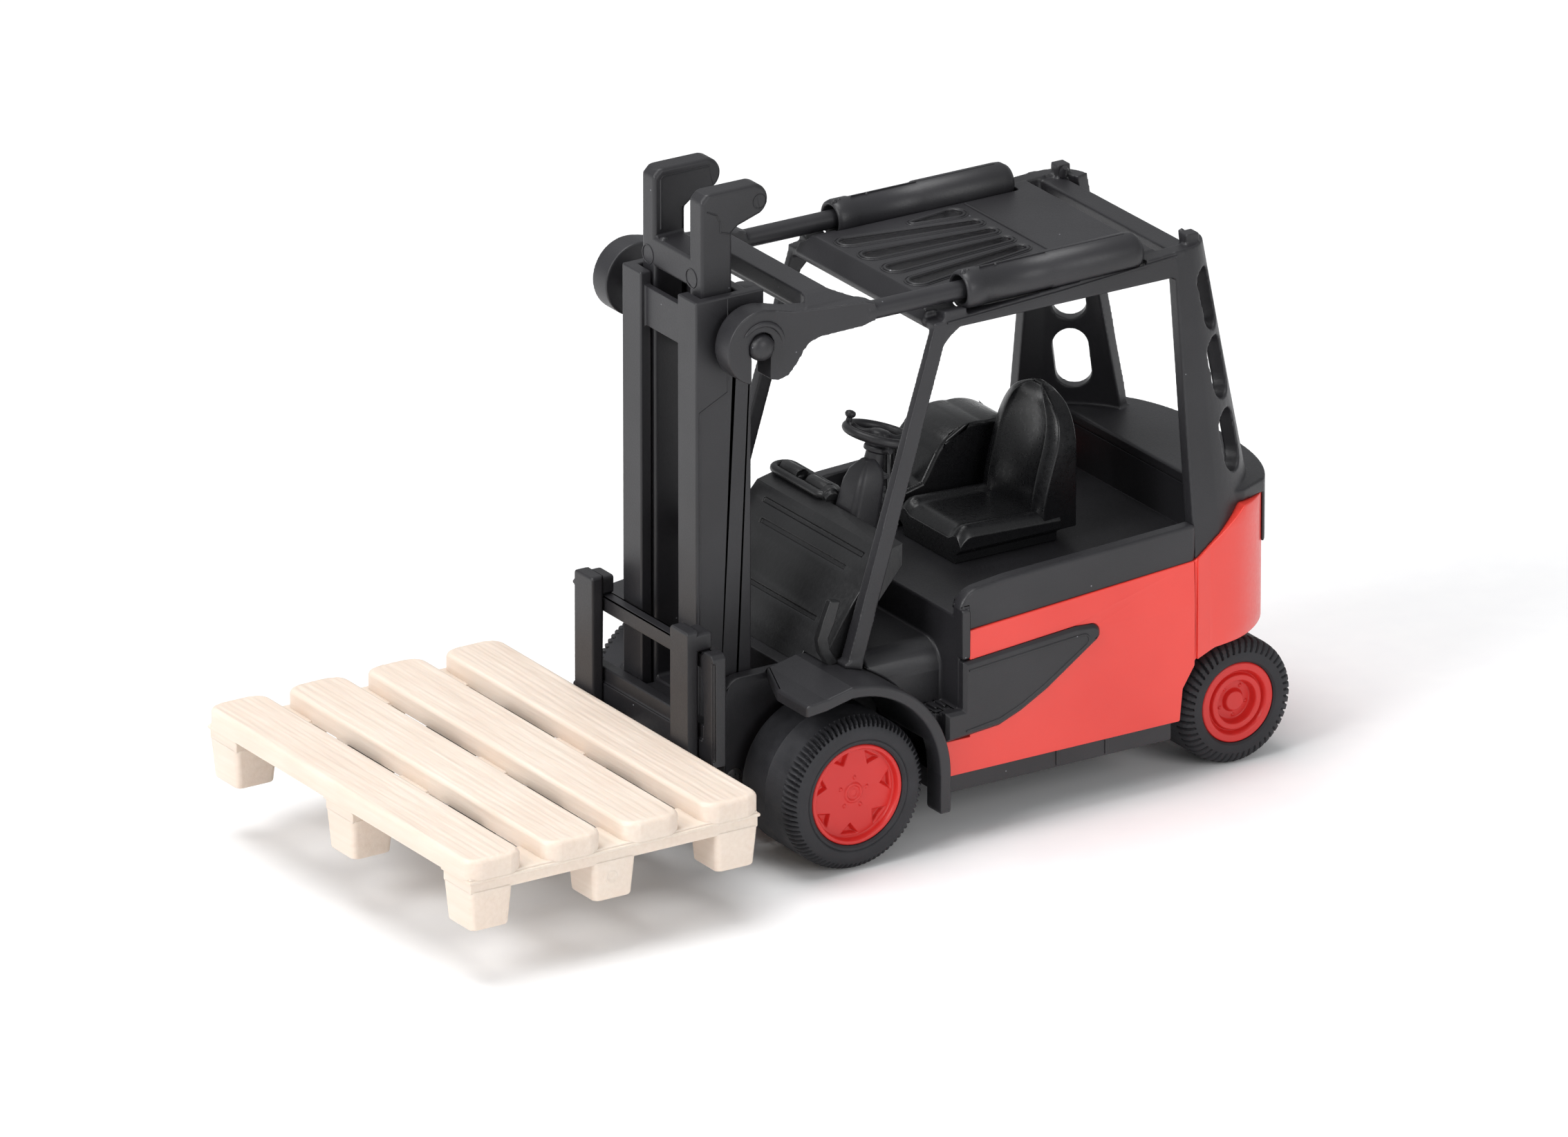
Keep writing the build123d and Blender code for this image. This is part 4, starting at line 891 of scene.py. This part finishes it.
def yoke_arm(whole, sign):
    """Snap eye, open below, and its arm, which leans sideways to meet the rod behind it."""
    outline = [(ARM_REAR, 49.8), (-4.5, 50.05), (0.0, 49.95), (2.2, 50.0)]
    outline += arc((EYE_X, EYE_Z), 3.4, 105, -73, 30)
    outline += arc((EYE_X, EYE_Z), 1.32, -44, 224, 22)
    outline += [(EYE_X - 0.95, 43.95), (3.3, 43.75), (2.4, 44.1), (1.6, 45.2), (1.1, 46.2), (0.5, 46.9),
                (-0.4, 47.3), (-4.2, 47.8), (-4.9, 48.1), (ARM_REAR, 48.2)]
    bm = bmesh.new()
    side_prism(bm, outline, -EYE_HALF, EYE_HALF)
    bmesh.ops.triangulate(bm, faces=bm.faces[:])
    for x in (ARM_FRONT, 1.5, -1.0, -3.2):
        everything = bm.verts[:] + bm.edges[:] + bm.faces[:]
        bmesh.ops.bisect_plane(bm, geom=everything, plane_co=(x, 0, 0), plane_no=(1, 0, 0))
    for vertex in bm.verts:
        share = min(1.0, max(0.0, (ARM_FRONT - vertex.co.x) / (ARM_FRONT - ARM_REAR)))
        vertex.co.y *= 1 - 0.26 * share
        vertex.co.y += EYE_Y[sign] + share * (sign * ROD_Y - EYE_Y[sign])
    bmesh.ops.recalc_face_normals(bm, faces=bm.faces)
    arm = bpy.data.meshes.new("yoke_arm")
    bm.to_mesh(arm)
    bm.free()
    whole.from_mesh(arm)
    bpy.data.meshes.remove(arm)
    tube(whole, [(-4.6, sign * ROD_Y, ROD_Z), (-5.0, sign * ROD_Y, ROD_Z), (-20.5, sign * ROD_Y, ROD_Z)],
         0.85, sides=28)


def yoke_bar(whole):
    """Cross bar with a ledge along its front, flared where it joins the arms."""
    loops = []
    flares = ((-11.0, 1.3), (-10.1, 0.75), (-9.2, 0.2), (-8.4, 0.0),
              (6.6, 0.0), (7.4, 0.2), (8.3, 0.75), (9.3, 1.3))
    for y, flare in flares:
        x_rear, x_front = -3.0 - flare, -0.5 + flare
        top = 50.4 - 0.25 * flare
        outline = [(x_rear, 48.2), (x_front - 0.3, 48.2), (x_front - 0.3, 48.65),
                   (x_front, 48.8), (x_front, top), (x_rear, top)]
        loops.append([(x, y, z) for x, z in outline])
    loft(whole, loops)


def yoke_pieces():
    """Arms and bar in one soft moulding, raised crescents around the eyes, domed trunnion heads."""
    bm = bmesh.new()
    for sign in (-1, 1):
        yoke_arm(bm, sign)
    yoke_bar(bm)
    yoke = piece("yoke_moulding", bm, "black_plastic", "yoke", replaces=["tilt_yoke"], smooth=40)
    melt_edges(yoke, 0.10, 8)
    bm = bmesh.new()
    for sign, eye_y in EYE_Y.items():
        face = eye_y + sign * EYE_HALF
        path = [(EYE_X + x, face, EYE_Z + z) for x, z in arc((0, 0), 2.15, 35, 205, 30)]
        tube(bm, path, [0.05 + 0.24 * sin(pi * i / 30) ** 0.5 for i in range(31)], sides=10)
    piece("yoke_eye_rims", bm, "black_plastic", "yoke", smooth=60)
    bm = bmesh.new()
    for sign, eye_y in EYE_Y.items():
        lathe(bm, [(0, 1.18), (0.25, 1.12), (0.55, 0.85), (0.72, 0.45), (0.76, 0)],
              (EYE_X, eye_y + sign * EYE_HALF, EYE_Z), (0, sign, 0), 36)
    piece("trunnion_domes", bm, "black_plastic", "mast", smooth=60)


mast_pieces()
yoke_pieces()


# ---------------------------------------------------------------- stage

def floor():
    material, tree, shader, place = new_material("pale_floor", (0.93, 0.93, 0.93), 0.75, 0.1)
    fine = grain(tree, place, 3.0, 3.0)
    tree.links.new(ramp(tree, fine, (0.925, 0.925, 0.93), (0.94, 0.94, 0.94)), shader.inputs["Base Color"])
    bm = bmesh.new()
    bmesh.ops.create_grid(bm, x_segments=1, y_segments=1, size=6.0)
    mesh = bpy.data.meshes.new("floor")
    bm.to_mesh(mesh)
    bm.free()
    mesh.materials.append(material)
    ground = bpy.data.objects.new("floor", mesh)
    bpy.context.scene.collection.objects.link(ground)


def area_light(name, position, target, size, power, colour=(1, 1, 1)):
    data = bpy.data.lights.new(name, "AREA")
    data.shape = "DISK"
    data.size = size
    data.energy = power
    data.color = colour
    light = bpy.data.objects.new(name, data)
    light.location = position
    light.rotation_euler = (Vector(target) - Vector(position)).to_track_quat("-Z", "Y").to_euler()
    bpy.context.scene.collection.objects.link(light)


def studio():
    world = bpy.data.worlds.new("studio")
    world.use_nodes = True
    world.node_tree.nodes["Background"].inputs["Color"].default_value = (0.97, 0.985, 1, 1)
    world.node_tree.nodes["Background"].inputs["Strength"].default_value = 0.42
    bpy.context.scene.world = world
    middle = (0, 0, 0.025)
    area_light("overhead", (0.10, -0.12, 0.75), middle, 0.55, 3.7)
    area_light("front_box", (0.62, 0.10, 0.42), middle, 0.40, 3.3)
    area_light("side_box", (-0.10, 0.75, 0.35), middle, 0.45, 1.7)


CAMERA_AZIMUTH = radians(57.4)      # of the camera's place, from +X towards +Y
CAMERA_ELEVATION = radians(21.5)
CAMERA_DISTANCE = 2.0
FRAME_WIDTH = 0.1365                # width of the picture at the object
AIM = Vector((-0.0001, 0.0002, 0.0221))


def camera():
    data = bpy.data.cameras.new("camera")
    data.sensor_width = 36.0
    data.lens = data.sensor_width * CAMERA_DISTANCE / FRAME_WIDTH
    data.clip_start = 0.05
    data.clip_end = 30.0
    eye = bpy.data.objects.new("camera", data)
    flat = cos(CAMERA_ELEVATION)
    outwards = Vector((flat * cos(CAMERA_AZIMUTH), flat * sin(CAMERA_AZIMUTH), sin(CAMERA_ELEVATION)))
    eye.location = AIM + outwards * CAMERA_DISTANCE
    eye.rotation_euler = (-outwards).to_track_quat("-Z", "Y").to_euler()
    bpy.context.scene.collection.objects.link(eye)
    bpy.context.scene.camera = eye


floor()
studio()
camera()
bpy.context.scene.view_settings.view_transform = "Standard"
